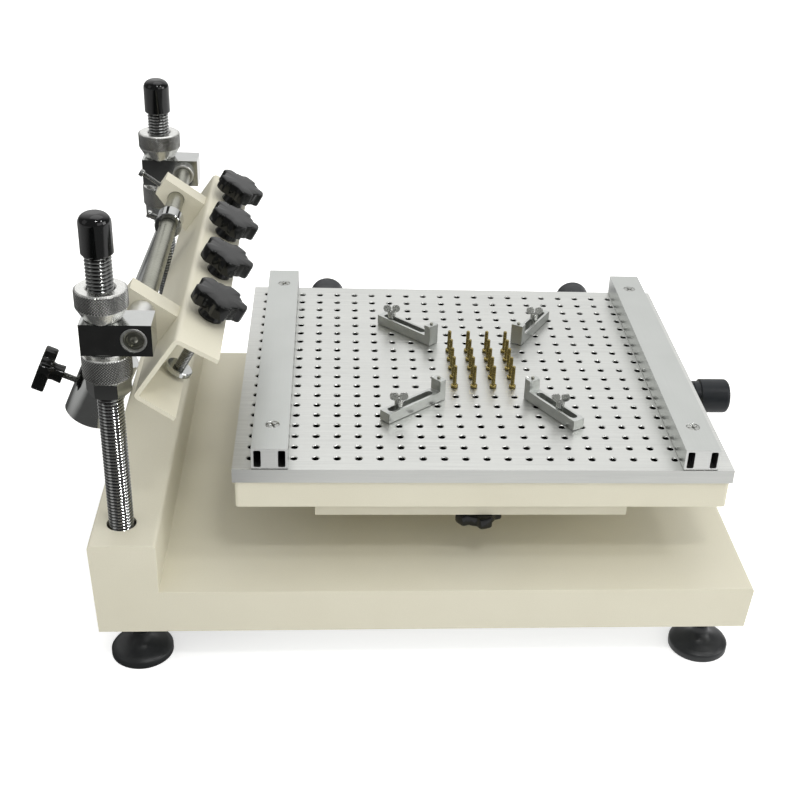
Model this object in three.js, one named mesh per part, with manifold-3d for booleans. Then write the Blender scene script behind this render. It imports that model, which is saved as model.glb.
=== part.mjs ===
// Bench stencil printer for solder paste, in millimetres, +Z up, +Y away from the user.
// Heights are measured from the top face of the work plate, and places across it from the
// centre of the plate's front left hole. At the end the whole model is moved so that its
// origin is the middle of its footprint, on the bench.

import * as THREE from 'three';
import { mergeGeometries, mergeVertices } from 'three/addons/utils/BufferGeometryUtils.js';
import Module from 'manifold-3d';

const wasm = await Module();
wasm.setup();

// Clearances
const seatGap = 0.3; // between pieces that rest on each other
const turnGap = 0.35; // around what turns or slides in a hole
const cutOverrun = 2; // how far a cutting solid stands out of what it cuts

// Where the posts stand: in a raised step on the left of the base
const middleY = 144.15;
const postSpan = 311.7;
const postLeftInset = 19.8;
const postRightInset = 26.2;
const postFrontInset = 28.3;
const postBackInset = 23;

// Sheet metal base
const baseLeft = -108.5;
const baseRight = 362;
const baseFront = middleY - postSpan / 2 - postFrontInset;
const baseBack = middleY + postSpan / 2 + postBackInset;
const baseBottom = -119.5;
const baseDeck = -85;
const stepTop = -46;
const stepRight = baseLeft + postLeftInset + postRightInset;
const sheet = 2.5;
const bottomPlateThickness = 3;
const bendRadius = 3;
const sideLean = 2.6; // how much further in the side walls stand at their lower edge

// Levelling feet
const footHeight = 32.5;
const footRadius = 22;
const footRim = 6;
const footNeckRadius = 6;
const footNeckHeight = 15;
const footStudRadius = 4;
const footStudGrip = 5;
const footInsetX = 28.7;
const footInsetY = 19.5;

// Threaded posts with their caps and nuts
const postRadius = 8.65;
const postX = baseLeft + postLeftInset;
const postTop = 176;
const farPostDrop = 6; // the far post ends this much lower
const postHoleGap = 1.55;
const capWall = 1.25;
const capGrip = 20; // how far the cap reaches down the post
const capCrown = 6.6; // height of the dome above the cap's wall
const capFlatRadius = 3;
const capSteps = 4;
const lowerNutRadius = 16.25;
const lowerNutHeight = 17.2;
const nutShoulderRadius = 13; // of the lower nut, under the block
const nutShoulderHeight = 2;
const upperNutRadius = 17;
const upperNutHeight = 13;
const nutConeHeight = 11;
const nutConeTipWall = 1.35;
const nutConeTipRadius = postRadius + nutConeTipWall;
const nutConeDepth = 2.8;
const nutEdge = 1;
const hexNutFlats = 25.5;
const hexNutHeight = 11.7;

// Carriage: two blocks on the posts, with the pivot shaft between them
const pivotDrop = 75; // below the top of the posts
const shaftRadius = 6.4;
const shaftEndInset = 0.5;
const bushRadius = 8.5;
const farBushShown = 5; // of the far bush beyond its block
const pivotWall = 2.65; // between the post and the bush
const blockThickness = 22.6;
const blockPostEnd = 14; // from the post's centre to the left face
const blockPivotWall = 3;
const blockFloor = 2.5;
const blockRoof = 2.3;
const pivotOffset = postRadius + pivotWall + bushRadius;
const pivotX = postX + pivotOffset;
const pivotZ = postTop - pivotDrop;
const blockSpan = postSpan + blockThickness;
const blockLeft = pivotOffset + blockPostEnd;
const blockRight = bushRadius + blockPivotWall;
const blockDown = bushRadius + blockFloor;
const blockUp = bushRadius + blockRoof;

// Frame clamp: a folded channel that hangs nose down from the pivot
const beamTilt = 35;
const beamFrontInset = 1.5; // from the near block's outer face
const beamBackInset = 24.8; // from the far block's outer face
const beamLength = blockSpan - beamFrontInset - beamBackInset;
const beamShift = (beamFrontInset - beamBackInset) / 2;
const webPlace = 20.5;
const flangePlace = 15.8;
const webHeight = 52;
const flangeDepth = 31;
const flangeOpening = THREE.MathUtils.degToRad(5.5); // the top flange is bent open by this
const channelWall = 3;
const channelCorner = 4;
const gussetEndGap = 42; // from the ends of the channel to the gussets' outer faces
const gussetSpan = beamLength - 2 * gussetEndGap;
const gussetThickness = 17;
const gussetBack = 15.5;
const gussetTopDrop = 6;
const gussetBackHeight = 15;
const gussetFrontHeight = 29;
const setScrewRadius = 2;
const setScrewReach = 34;
const setScrewHeadRadius = 3;
const setScrewHeadHeight = 3;

// Frame clamp screws with their star knobs
const knobCount = 4;
const knobEndInset = 46.75;
const knobShift = 6.2; // of the row of knobs towards the back
const knobPitch = (beamLength - 2 * knobEndInset) / (knobCount - 1);
const knobPlace = 19.1; // along the top flange
const starRadius = 19;
const starWaist = 15;
const starThickness = 11;
const starEdge = 1.2;
const hubRadius = 9;
const hubLength = 8.2;
const clampScrewRadius = 4;
const pressureFootRadius = 9.5;
const pressureFootThickness = 4;
const frameOpening = 2.4; // between the pressure foot and the lower flange
const channelDrop = webHeight - channelWall + (knobPlace - pressureFootRadius) * Math.sin(flangeOpening);
const clampScrewReach = channelDrop / Math.cos(flangeOpening) - frameOpening - pressureFootThickness;

// Counterweight on its arm, which leans until the weight rests on the edge of the step
const armShift = 34.85;
const collarRadius = 10.2;
const collarLength = 16;
const collarScrewReach = 17.5;
const armRadius = 7;
const armLength = 181;
const weightRadius = 20.75;
const weightTop = 125;
const weightLength = 60;
const weightRestGap = 1.6;
const lockPlace = 34;
const lockStudRadius = 2.75;
const lockStudShown = 10;
const lockHubRadius = 7.5;
const lockHubLength = 10;
const lockKnobThickness = 10.5;
const stepReach = pivotX - baseLeft;
const stepDrop = pivotZ - stepTop;
const armLean = Math.atan2(stepReach, stepDrop)
  + Math.asin((weightRadius + weightRestGap) / Math.hypot(stepReach, stepDrop));

// Work platform: perforated plate on a tray, with two rails
const holePitch = 15;
const holeColumns = 23;
const holeRows = 19;
const holeSide = 4.2;
const plateLeftMargin = 11.7; // outside the outer holes' centres
const plateRightMargin = 10;
const plateEndMargin = 15;
const plateThickness = 10.5;
const plateLeft = -plateLeftMargin;
const plateRight = (holeColumns - 1) * holePitch + plateRightMargin;
const plateFront = -plateEndMargin;
const plateBack = (holeRows - 1) * holePitch + plateEndMargin;
const railWidth = 25;
const railLeftInset = 13.2;
const railRightInset = 12;
const railHeight = 16;
const railFrontInset = 0.8;
const railSlotWidth = 5;
const railSlotWall = 1.35;
const railSlotInset = 4.2;
const railSlotCorner = 1.2;
const trayMargin = 1.5;
const trayHeight = 20.6;
const trayWall = 3;
const trayCorner = 3;

// Cross slide, stage and pedestal under the tray
const stageLeftInset = 56.3; // inside the plate's edges
const stageRightInset = 70.5;
const stageEndInset = 13;
const stageThickness = 8;
const crossSlideInset = 1;
const crossSlideGap = 1;
const crossSlideThickness = 5.6;
const crossBossSide = 120;
const pedestalSide = 120;
const platformLockX = 162;
const platformLockInset = 12;
const platformKnobRadius = 18;
const platformKnobThickness = 9;

// Adjusting knobs at the back and on the right
const sideKnobSize = { radius: 13.7, length: 24 };
const rearKnobSize = { radius: 14.9, length: 25.8 };
const adjustCrown = 3.5; // rounding of its outer end
const adjustNeckRadius = 10;
const adjustNeckLength = 3;
const adjustGripRadius = 12;
const adjustGripLength = 10.2;
const adjustScrewRadius = 4;
const adjustScrewReach = 14;
const adjustGap = 0.5; // between a neck and the plate above it
const rearKnobOffset = 113;
const sideKnobY = 132.5;

// Board clamps: slotted bars with an upright jaw, held by wing screws
const barLength = 58;
const barWidth = 10;
const barHeight = 8;
const barSlotWidth = 5.8;
const barSlotEnd = 4;
const jawHeight = 17;
const jawThickness = 6;
const wingStemRadius = 1.7;
const wingHubRadius = 3.2;
const wingHubHeight = 5;
const wingEarRadius = 3.3;
const wingEarThickness = 1.6;
const wingEarSpread = 3.6;
const wingEarRise = 3;
// Each clamp: its plate hole, its heading towards the board and where in its slot the screw stands
const boardClamps = [
  { name: 'front_left', column: 7, row: 4, heading: 41, slotShare: 0.227 },
  { name: 'front_right', column: 15, row: 4, heading: 122, slotShare: 0.409 },
  { name: 'back_left', column: 7, row: 14, heading: -45, slotShare: 0.159 },
  { name: 'back_right', column: 15, row: 14, heading: -121, slotShare: 0.409 },
];

// Support pins standing in the plate's holes
const pinFirstColumn = 10;
const pinCount = 4;
const pinRow = 7;
const pinRadius = 1.75;
const pinTailRadius = 1.6;
const pinCollarRadius = 2.75;
const pinCollarHeight = 2;
const pinHeight = 18.5;
const pinTipRadius = 0.9;
const pinTipLength = 5;

const paint = { color: 0xcfcbb9, roughness: 0.45, metalness: 0 };
const chrome = { color: 0xc9cac8, roughness: 0.16, metalness: 1 };
const aluminium = { color: 0xd6d6d3, roughness: 0.35, metalness: 1 };
const plastic = { color: 0x161614, roughness: 0.38, metalness: 0 };
const vinyl = { color: 0x1b1b19, roughness: 0.3, metalness: 0 };
const steel = { color: 0x8f908c, roughness: 0.4, metalness: 1 };
const brass = { color: 0xb89a4e, roughness: 0.3, metalness: 1 };

const bareGeometry = (geometry) => {
  const bare = geometry.clone();
  bare.deleteAttribute('normal');
  bare.deleteAttribute('uv');
  return mergeVertices(bare);
};

const solidOf = (geometry) => {
  const bare = bareGeometry(geometry);
  const vertProperties = new Float32Array(bare.attributes.position.array);
  const triVerts = new Uint32Array(bare.index.array);
  return new wasm.Manifold(new wasm.Mesh({ numProp: 3, vertProperties, triVerts }));
};

const geometryOf = (solid) => {
  const mesh = solid.getMesh();
  const geometry = new THREE.BufferGeometry();
  geometry.setAttribute('position', new THREE.BufferAttribute(mesh.vertProperties, 3));
  geometry.setIndex(new THREE.BufferAttribute(mesh.triVerts, 1));
  geometry.computeVertexNormals();
  return geometry;
};

const join = (...pieces) => geometryOf(pieces.map(solidOf).reduce((sum, piece) => sum.add(piece)));

const cut = (piece, ...tools) =>
  geometryOf(tools.map(solidOf).reduce((rest, tool) => rest.subtract(tool), solidOf(piece)));

// A box between two opposite corners
const box = (x0, x1, y0, y1, z0, z1) =>
  new THREE.BoxGeometry(x1 - x0, y1 - y0, z1 - z0)
    .translate((x0 + x1) / 2, (y0 + y1) / 2, (z0 + z1) / 2);

// A solid of revolution about Z, from points [radius, height] that start and end on the axis
const turned = (points, segments = 20) =>
  new THREE.LatheGeometry(points.map(([r, z]) => new THREE.Vector2(r, z)), segments).rotateX(Math.PI / 2);

// A cylinder about Z between two heights
const barZ = (radius, z0, z1, segments = 20) =>
  turned([[0, z0], [radius, z0], [radius, z1], [0, z1]], segments);

const barX = (radius, x0, x1, segments = 20) => barZ(radius, x0, x1, segments).rotateY(Math.PI / 2);

const barY = (radius, y0, y1, segments = 20) => barZ(radius, -y1, -y0, segments).rotateX(Math.PI / 2);

// A ring about Z: the outer wall down to the bore, closed on itself
const ring = (points, segments = 20) => turned([...points, points[0]], segments);

const shapeOf = (points) => new THREE.Shape(points.map(([x, y]) => new THREE.Vector2(x, y)));

// An outline in X and Z, carried along Y from y0 to y1
const profileXZ = (shape, y0, y1) =>
  new THREE.ExtrudeGeometry(shape, { depth: y1 - y0, bevelEnabled: false, curveSegments: 4 })
    .rotateX(Math.PI / 2)
    .translate(0, y1, 0);

// An outline in X and Y, carried up from z0 to z1
const profileXY = (shape, z0, z1, curveSegments = 4) =>
  new THREE.ExtrudeGeometry(shape, { depth: z1 - z0, bevelEnabled: false, curveSegments })
    .translate(0, 0, z0);

// A closed outline through the given corners, each rounded by its own radius
const roundedOutline = (corners) => {
  const shape = new THREE.Shape();
  corners.forEach(([x, y, radius], index) => {
    const before = corners[(index + corners.length - 1) % corners.length];
    const after = corners[(index + 1) % corners.length];
    const corner = new THREE.Vector2(x, y);
    const toBefore = new THREE.Vector2(before[0] - x, before[1] - y).normalize();
    const toAfter = new THREE.Vector2(after[0] - x, after[1] - y).normalize();
    const setBack = radius / Math.tan(Math.acos(toBefore.dot(toAfter)) / 2);
    const start = corner.clone().addScaledVector(toBefore, setBack);
    const end = corner.clone().addScaledVector(toAfter, setBack);
    if (index === 0) shape.moveTo(start.x, start.y);
    else shape.lineTo(start.x, start.y);
    if (radius > 0) shape.quadraticCurveTo(x, y, end.x, end.y);
  });
  shape.closePath();
  return shape;
};

const rectangle = (x0, x1, y0, y1, radius) =>
  roundedOutline([[x0, y0, radius], [x1, y0, radius], [x1, y1, radius], [x0, y1, radius]]);

// An upright or lying slot outline with round ends
const slotOutline = (x, y, width, height) => {
  const r = width / 2;
  const slot = new THREE.Path();
  slot.absarc(x, y + height / 2 - r, r, 0, Math.PI, false);
  slot.absarc(x, y - height / 2 + r, r, Math.PI, 2 * Math.PI, false);
  slot.closePath();
  return slot;
};

// A knob head with five lobes about Z, with its edges eased
const starHead = (outer, waist, z0, z1) => {
  const lobes = 5;
  const points = 30;
  const outline = Array.from({ length: points }, (_, index) => {
    const angle = (index / points) * 2 * Math.PI;
    const swell = (1 + Math.cos(lobes * angle)) / 2;
    const radius = waist + (outer - waist) * swell - starEdge;
    return [radius * Math.cos(angle), radius * Math.sin(angle)];
  });
  return new THREE.ExtrudeGeometry(shapeOf(outline), {
    depth: z1 - z0 - 2 * starEdge,
    bevelThickness: starEdge,
    bevelSize: starEdge,
    bevelSegments: 1,
  }).translate(0, 0, z0 + starEdge);
};

const piece = (name, geometry, finish) => {
  const mesh = new THREE.Mesh(geometry, new THREE.MeshStandardMaterial(finish));
  mesh.name = name;
  return mesh;
};

const near = { name: 'near', side: -1, drop: 0 };
const far = { name: 'far', side: 1, drop: farPostDrop };

// Base
const makeBase = () => {
  const group = new THREE.Group();
  const slope = sideLean / (baseDeck - baseBottom);
  const outline = (inset, floor) => roundedOutline([
    [baseLeft + inset + sideLean, floor, 0],
    [baseRight - inset - slope * (baseDeck - inset - floor), floor, 0],
    [baseRight - inset, baseDeck - inset, bendRadius],
    [stepRight - inset, baseDeck - inset, 0],
    [stepRight - inset, stepTop - inset, bendRadius],
    [baseLeft + inset, stepTop - inset, bendRadius],
  ]);
  const shell = profileXZ(outline(0, baseBottom), baseFront, baseBack);
  const hollow = profileXZ(outline(sheet, baseBottom - cutOverrun), baseFront + sheet, baseBack - sheet);
  const postHoles = [near, far].map(({ side }) =>
    barZ(postRadius + postHoleGap, stepTop - sheet - cutOverrun, stepTop + cutOverrun)
      .translate(postX, middleY + side * postSpan / 2, 0));
  group.add(piece('base_housing', cut(shell, hollow, ...postHoles), paint));
  const inset = sheet + seatGap;
  group.add(piece('base_bottom_plate', box(
    baseLeft + sideLean + inset, baseRight - sideLean - inset, baseFront + inset, baseBack - inset,
    baseBottom, baseBottom + bottomPlateThickness,
  ), steel));
  return group;
};

// Levelling feet, each with its stud up to the bottom plate
const makeFeet = () => {
  const group = new THREE.Group();
  const floor = baseBottom - footHeight;
  const places = [
    ['front_left', baseLeft + footInsetX, baseFront + footInsetY],
    ['front_right', baseRight - footInsetX, baseFront + footInsetY],
    ['back_left', baseLeft + footInsetX, baseBack - footInsetY],
    ['back_right', baseRight - footInsetX, baseBack - footInsetY],
  ];
  const top = baseBottom - seatGap;
  for (const [name, x, y] of places) {
    const foot = turned([
      [0, floor],
      [footRadius, floor],
      [footRadius, floor + footRim],
      [footNeckRadius, floor + footNeckHeight],
      [footNeckRadius, floor + footNeckHeight + footStudGrip],
      [footStudRadius, floor + footNeckHeight + footStudGrip],
      [footStudRadius, top],
      [0, top],
    ], 24).translate(x, y, 0);
    group.add(piece(`foot_${name}`, foot, plastic));
  }
  return group;
};

// Threaded posts with their vinyl caps
const makePost = ({ name, side, drop }) => {
  const group = new THREE.Group();
  group.position.set(postX, middleY + side * postSpan / 2, 0);
  const postBottom = baseBottom + bottomPlateThickness + seatGap;
  const top = postTop - drop;
  group.add(piece(`post_${name}`, barZ(postRadius, postBottom, top), chrome));
  const capBore = postRadius + seatGap;
  const capRadius = capBore + capWall;
  const dome = Array.from({ length: capSteps + 1 }, (_, step) => {
    const angle = (step / capSteps) * Math.PI / 2;
    return [
      capFlatRadius + (capRadius - capFlatRadius) * Math.cos(angle),
      top + capCrown * Math.sin(angle),
    ];
  });
  group.add(piece(`post_cap_${name}`, turned([
    [0, top + seatGap],
    [capBore, top + seatGap],
    [capBore, top - capGrip],
    [capRadius, top - capGrip],
    ...dome,
    [0, top + capCrown],
  ]), vinyl));
  return group;
};

// Nuts that hold the carriage: a knurled nut above each block, a knurled and a hexagon nut below it
const makeNuts = ({ name, side }) => {
  const group = new THREE.Group();
  group.position.set(-pivotOffset, side * postSpan / 2, 0);
  const bore = postRadius + turnGap;
  const coneTop = blockUp - nutConeDepth + nutConeHeight;
  const upperTop = coneTop + upperNutHeight;
  group.add(piece(`upper_nut_${name}`, ring([
    [bore, blockUp - nutConeDepth],
    [nutConeTipRadius, blockUp - nutConeDepth],
    [upperNutRadius, coneTop],
    [upperNutRadius, upperTop - nutEdge],
    [upperNutRadius - nutEdge, upperTop],
    [bore, upperTop],
  ], 24), steel));
  const shoulderTop = -blockDown - seatGap;
  const lowerTop = shoulderTop - nutShoulderHeight;
  const lowerBottom = lowerTop - lowerNutHeight;
  group.add(piece(`lower_nut_${name}`, ring([
    [bore, lowerBottom],
    [lowerNutRadius - nutEdge, lowerBottom],
    [lowerNutRadius, lowerBottom + nutEdge],
    [lowerNutRadius, lowerTop - nutEdge],
    [lowerNutRadius - nutEdge, lowerTop],
    [nutShoulderRadius, lowerTop],
    [nutShoulderRadius, shoulderTop],
    [bore, shoulderTop],
  ], 24), steel));
  const hexTop = lowerBottom - seatGap;
  const hex = barZ(hexNutFlats / Math.sqrt(3), hexTop - hexNutHeight, hexTop, 6).rotateZ(Math.PI / 2);
  const hole = barZ(bore, hexTop - hexNutHeight - cutOverrun, hexTop + cutOverrun);
  group.add(piece(`hex_nut_${name}`, cut(hex, hole), chrome));
  return group;
};

// Carriage block and its pivot bush
const makeBlock = ({ name, side }) => {
  const group = new THREE.Group();
  const outer = side * blockSpan / 2;
  const inner = outer - side * blockThickness;
  const [y0, y1] = [Math.min(outer, inner), Math.max(outer, inner)];
  const block = box(-blockLeft, blockRight, y0, y1, -blockDown, blockUp);
  const bore = postRadius + turnGap;
  // The countersink follows the cone of the upper nut
  const slope = (upperNutRadius - nutConeTipRadius) / nutConeHeight;
  const sinkRadius = (z) => nutConeTipRadius + turnGap + (z - blockUp + nutConeDepth) * slope;
  const sinkTop = blockUp + cutOverrun;
  const sinkBottom = blockUp - nutConeDepth - (nutConeTipRadius + turnGap - bore) / slope;
  const postBore = turned([
    [0, -blockDown - cutOverrun],
    [bore, -blockDown - cutOverrun],
    [bore, sinkBottom],
    [sinkRadius(sinkTop), sinkTop],
    [0, sinkTop],
  ]).translate(-pivotOffset, side * postSpan / 2, 0);
  const bushHole = barY(bushRadius + seatGap / 2, y0 - cutOverrun, y1 + cutOverrun);
  group.add(piece(`block_${name}`, cut(block, postBore, bushHole), chrome));
  // The near bush reaches the gusset of the frame clamp, the far one ends close to its block
  const bushInner = side < 0 ? beamShift - gussetSpan / 2 - seatGap : inner - farBushShown;
  const [b0, b1] = [Math.min(outer, bushInner), Math.max(outer, bushInner)];
  const bore2 = barY(shaftRadius + turnGap, b0 - cutOverrun, b1 + cutOverrun);
  group.add(piece(`pivot_bush_${name}`, cut(barY(bushRadius, b0, b1), bore2), steel));
  return group;
};

// Frame clamp, in its own tilted frame with its origin on the pivot, midway along the channel:
// X runs towards the mouth of the channel and Z up along its web

// A point of the top flange, at a distance along it from the bend and at a depth below its upper face
const flangePoint = (along, depth) => [
  webPlace + along * Math.cos(flangeOpening) + depth * Math.sin(flangeOpening),
  flangePlace + along * Math.sin(flangeOpening) - depth * Math.cos(flangeOpening),
];

const channelOutline = () => {
  const bottom = flangePlace - webHeight;
  const tip = webPlace + flangeDepth;
  const inner = channelCorner - channelWall;
  const innerStart = channelWall * (1 - Math.sin(flangeOpening)) / Math.cos(flangeOpening);
  return roundedOutline([
    [webPlace, bottom, channelCorner],
    [tip, bottom, 0],
    [tip, bottom + channelWall, 0],
    [webPlace + channelWall, bottom + channelWall, inner],
    [...flangePoint(innerStart, channelWall), inner],
    [...flangePoint(flangeDepth, channelWall), 0],
    [...flangePoint(flangeDepth, 0), 0],
    [...flangePoint(0, 0), channelCorner],
  ]);
};

const gussetRanges = [near, far].map(({ name, side }) => {
  const outer = side * gussetSpan / 2;
  const inner = outer - side * gussetThickness;
  return { name, y0: Math.min(outer, inner), y1: Math.max(outer, inner) };
});

const knobPlaces = Array.from({ length: knobCount }, (_, index) =>
  knobShift + (index - (knobCount - 1) / 2) * knobPitch);

const makeClampBeam = () => {
  const group = new THREE.Group();
  const channel = profileXZ(channelOutline(), -beamLength / 2, beamLength / 2);
  const gussetTop = flangePlace - gussetTopDrop;
  const webMiddle = webPlace + channelWall / 2;
  const gussetOutline = shapeOf([
    [-gussetBack, gussetTop - gussetBackHeight],
    [webMiddle, gussetTop - gussetFrontHeight],
    [webMiddle, gussetTop],
    [-gussetBack, gussetTop],
  ]);
  const gussets = gussetRanges.map(({ y0, y1 }) => profileXZ(gussetOutline, y0, y1));
  const shaftHoles = gussetRanges.map(({ y0, y1 }) =>
    barY(shaftRadius + seatGap, y0 - cutOverrun, y1 + cutOverrun));
  const setScrewHoles = gussetRanges.map(({ y0, y1 }) =>
    barX(setScrewRadius + seatGap, -gussetBack - cutOverrun, 0, 12).translate(0, (y0 + y1) / 2, 0));
  const [screwX, screwZ] = flangePoint(knobPlace, 0);
  const clampHoles = knobPlaces.map((y) =>
    barZ(clampScrewRadius + turnGap, -channelWall - cutOverrun, cutOverrun, 16)
      .rotateY(-flangeOpening)
      .translate(screwX, y, screwZ));
  const body = join(channel, ...gussets);
  group.add(piece('frame_clamp_beam', cut(body, ...shaftHoles, ...setScrewHoles, ...clampHoles), paint));
  const halfShaft = blockSpan / 2 - shaftEndInset;
  const shaft = barY(shaftRadius, -halfShaft, halfShaft).translate(0, -beamShift, 0);
  group.add(piece('pivot_shaft', shaft, chrome));
  for (const { name, y0, y1 } of gussetRanges) {
    const tip = -shaftRadius - seatGap;
    const screw = join(
      barX(setScrewRadius, -setScrewReach, tip, 12),
      barX(setScrewHeadRadius, -setScrewReach, -setScrewReach + setScrewHeadHeight, 12),
    ).translate(0, (y0 + y1) / 2, 0);
    group.add(piece(`gusset_screw_${name}`, screw, chrome));
  }
  return group;
};

// One clamp screw: star knob with hub and screw above, pressure foot inside the channel
const makeFrameScrew = (y, number) => {
  const group = new THREE.Group();
  const [screwX, screwZ] = flangePoint(knobPlace, 0);
  group.position.set(screwX, y, screwZ);
  group.rotation.y = -flangeOpening;
  const hubBottom = seatGap;
  const headBottom = hubBottom + hubLength;
  const footTop = -clampScrewReach;
  const knob = join(
    barZ(clampScrewRadius, footTop + seatGap, headBottom, 16),
    barZ(hubRadius, hubBottom, headBottom + starEdge),
    starHead(starRadius, starWaist, headBottom, headBottom + starThickness),
  );
  group.add(piece(`frame_knob_${number}`, knob, plastic));
  group.add(piece(`pressure_foot_${number}`,
    barZ(pressureFootRadius, footTop - pressureFootThickness, footTop), chrome));
  return group;
};

// Counterweight arm, in its own frame with its origin on the pivot and -Z along the arm
const makeCounterweight = () => {
  const group = new THREE.Group();
  const half = collarLength / 2;
  const collar = barY(collarRadius, -half, half, 28);
  const arm = cut(
    join(collar, barZ(armRadius, -armLength, -shaftRadius)),
    barY(shaftRadius + turnGap, -half - cutOverrun, half + cutOverrun),
    barX(setScrewRadius + seatGap, -collarRadius - cutOverrun, -shaftRadius, 12),
  );
  group.add(piece('counterweight_arm', arm, chrome));
  group.add(piece('collar_screw', join(
    barX(setScrewRadius, -collarScrewReach, -shaftRadius - turnGap - seatGap, 12),
    barX(setScrewHeadRadius, -collarScrewReach, -collarScrewReach + setScrewHeadHeight, 12),
  ), chrome));
  const weightBottom = weightTop + weightLength;
  const lockZ = -weightTop - lockPlace;
  const weight = cut(
    barZ(weightRadius, -weightBottom, -weightTop, 32),
    barZ(armRadius + turnGap, -weightBottom - cutOverrun, -weightTop + cutOverrun),
    barX(lockStudRadius + turnGap, -weightRadius - cutOverrun, -armRadius, 12).translate(0, 0, lockZ),
  );
  group.add(piece('counterweight', weight, chrome));
  const hubInner = weightRadius + lockStudShown;
  const headInner = hubInner + lockHubLength;
  const lockKnob = join(
    barZ(lockStudRadius, armRadius + turnGap + seatGap, hubInner + starEdge, 12),
    barZ(lockHubRadius, hubInner, headInner + starEdge),
    starHead(starRadius, starWaist, headInner, headInner + lockKnobThickness),
  ).rotateY(-Math.PI / 2).translate(0, 0, lockZ);
  group.add(piece('counterweight_lock_knob', lockKnob, plastic));
  return group;
};

// Work plate with its grid of holes. The columns under the rails are not drilled
const plateMiddle = (plateLeft + plateRight) / 2;
const railPlaces = [
  { name: 'left', x0: plateLeft + railLeftInset },
  { name: 'right', x0: plateRight - railRightInset - railWidth },
];
const underRail = (x) => railPlaces.some(({ x0 }) => x > x0 && x < x0 + railWidth);

const makePlate = () => {
  const half = holeSide / 2;
  const holes = [];
  for (let column = 0; column < holeColumns; column += 1) {
    const x = column * holePitch;
    for (let row = 0; row < holeRows && !underRail(x); row += 1) {
      const y = row * holePitch;
      holes.push(box(x - half, x + half, y - half, y + half, -plateThickness - cutOverrun, cutOverrun));
    }
  }
  const plate = box(plateLeft, plateRight, plateFront, plateBack, -plateThickness, 0);
  return piece('work_plate', cut(plate, mergeGeometries(holes)), aluminium);
};

const makeRail = ({ name, x0 }) => {
  const shape = rectangle(x0, x0 + railWidth, seatGap, railHeight, 0);
  const half = railSlotWidth / 2;
  for (const x of [x0 + railSlotInset, x0 + railWidth - railSlotInset]) {
    shape.holes.push(rectangle(
      x - half, x + half, seatGap + railSlotWall, railHeight - railSlotWall, railSlotCorner,
    ));
  }
  return piece(`rail_${name}`, profileXZ(shape, plateFront + railFrontInset, plateBack), aluminium);
};

// Tray under the plate, open below, with holes for the three adjusting screws
const trayLeft = plateLeft + trayMargin;
const trayRight = plateRight - trayMargin;
const trayFront = plateFront + trayMargin;
const trayBack = plateBack - trayMargin;
const trayTop = -plateThickness - seatGap;
const trayBottom = trayTop - trayHeight;
const adjustHeight = -plateThickness - adjustGap - adjustNeckRadius;

const makeTray = () => {
  const outline = rectangle(trayLeft, trayRight, trayFront, trayBack, trayCorner);
  const shell = profileXY(outline, trayBottom, trayTop);
  const hollow = box(
    trayLeft + trayWall, trayRight - trayWall, trayFront + trayWall, trayBack - trayWall,
    trayBottom - cutOverrun, trayTop - trayWall,
  );
  const radius = adjustScrewRadius + turnGap;
  const rearHoles = [-rearKnobOffset, rearKnobOffset].map((offset) =>
    barY(radius, trayBack - trayWall - cutOverrun, trayBack + cutOverrun, 16)
      .translate(plateMiddle + offset, 0, adjustHeight));
  const sideHole = barX(radius, trayRight - trayWall - cutOverrun, trayRight + cutOverrun, 16)
    .translate(0, sideKnobY, adjustHeight);
  return piece('tray', cut(shell, hollow, ...rearHoles, sideHole), paint);
};

// An adjusting knob about Z: its neck starts at the tray wall and its screw goes in through it
const adjustKnob = ({ radius, length }) => {
  const neckStart = seatGap;
  const gripStart = neckStart + adjustNeckLength;
  const knobStart = gripStart + adjustGripLength;
  const knobEnd = knobStart + length;
  const crownMiddle = adjustCrown * (1 - Math.SQRT1_2);
  return turned([
    [0, -adjustScrewReach],
    [adjustScrewRadius, -adjustScrewReach],
    [adjustScrewRadius, neckStart],
    [adjustNeckRadius, neckStart],
    [adjustNeckRadius, gripStart],
    [adjustGripRadius, gripStart],
    [adjustGripRadius, knobStart],
    [radius - starEdge, knobStart],
    [radius, knobStart + starEdge],
    [radius, knobEnd - adjustCrown],
    [radius - crownMiddle, knobEnd - crownMiddle],
    [radius - adjustCrown, knobEnd],
    [0, knobEnd],
  ]);
};

const makeAdjustKnobs = () => {
  const group = new THREE.Group();
  for (const [name, offset] of [['rear_left', -rearKnobOffset], ['rear_right', rearKnobOffset]]) {
    const knob = adjustKnob(rearKnobSize).rotateX(-Math.PI / 2);
    group.add(piece(`adjust_knob_${name}`, knob.translate(plateMiddle + offset, trayBack, adjustHeight), plastic));
  }
  const knob = adjustKnob(sideKnobSize).rotateY(Math.PI / 2);
  group.add(piece('adjust_knob_side', knob.translate(trayRight, sideKnobY, adjustHeight), plastic));
  return group;
};

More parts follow.
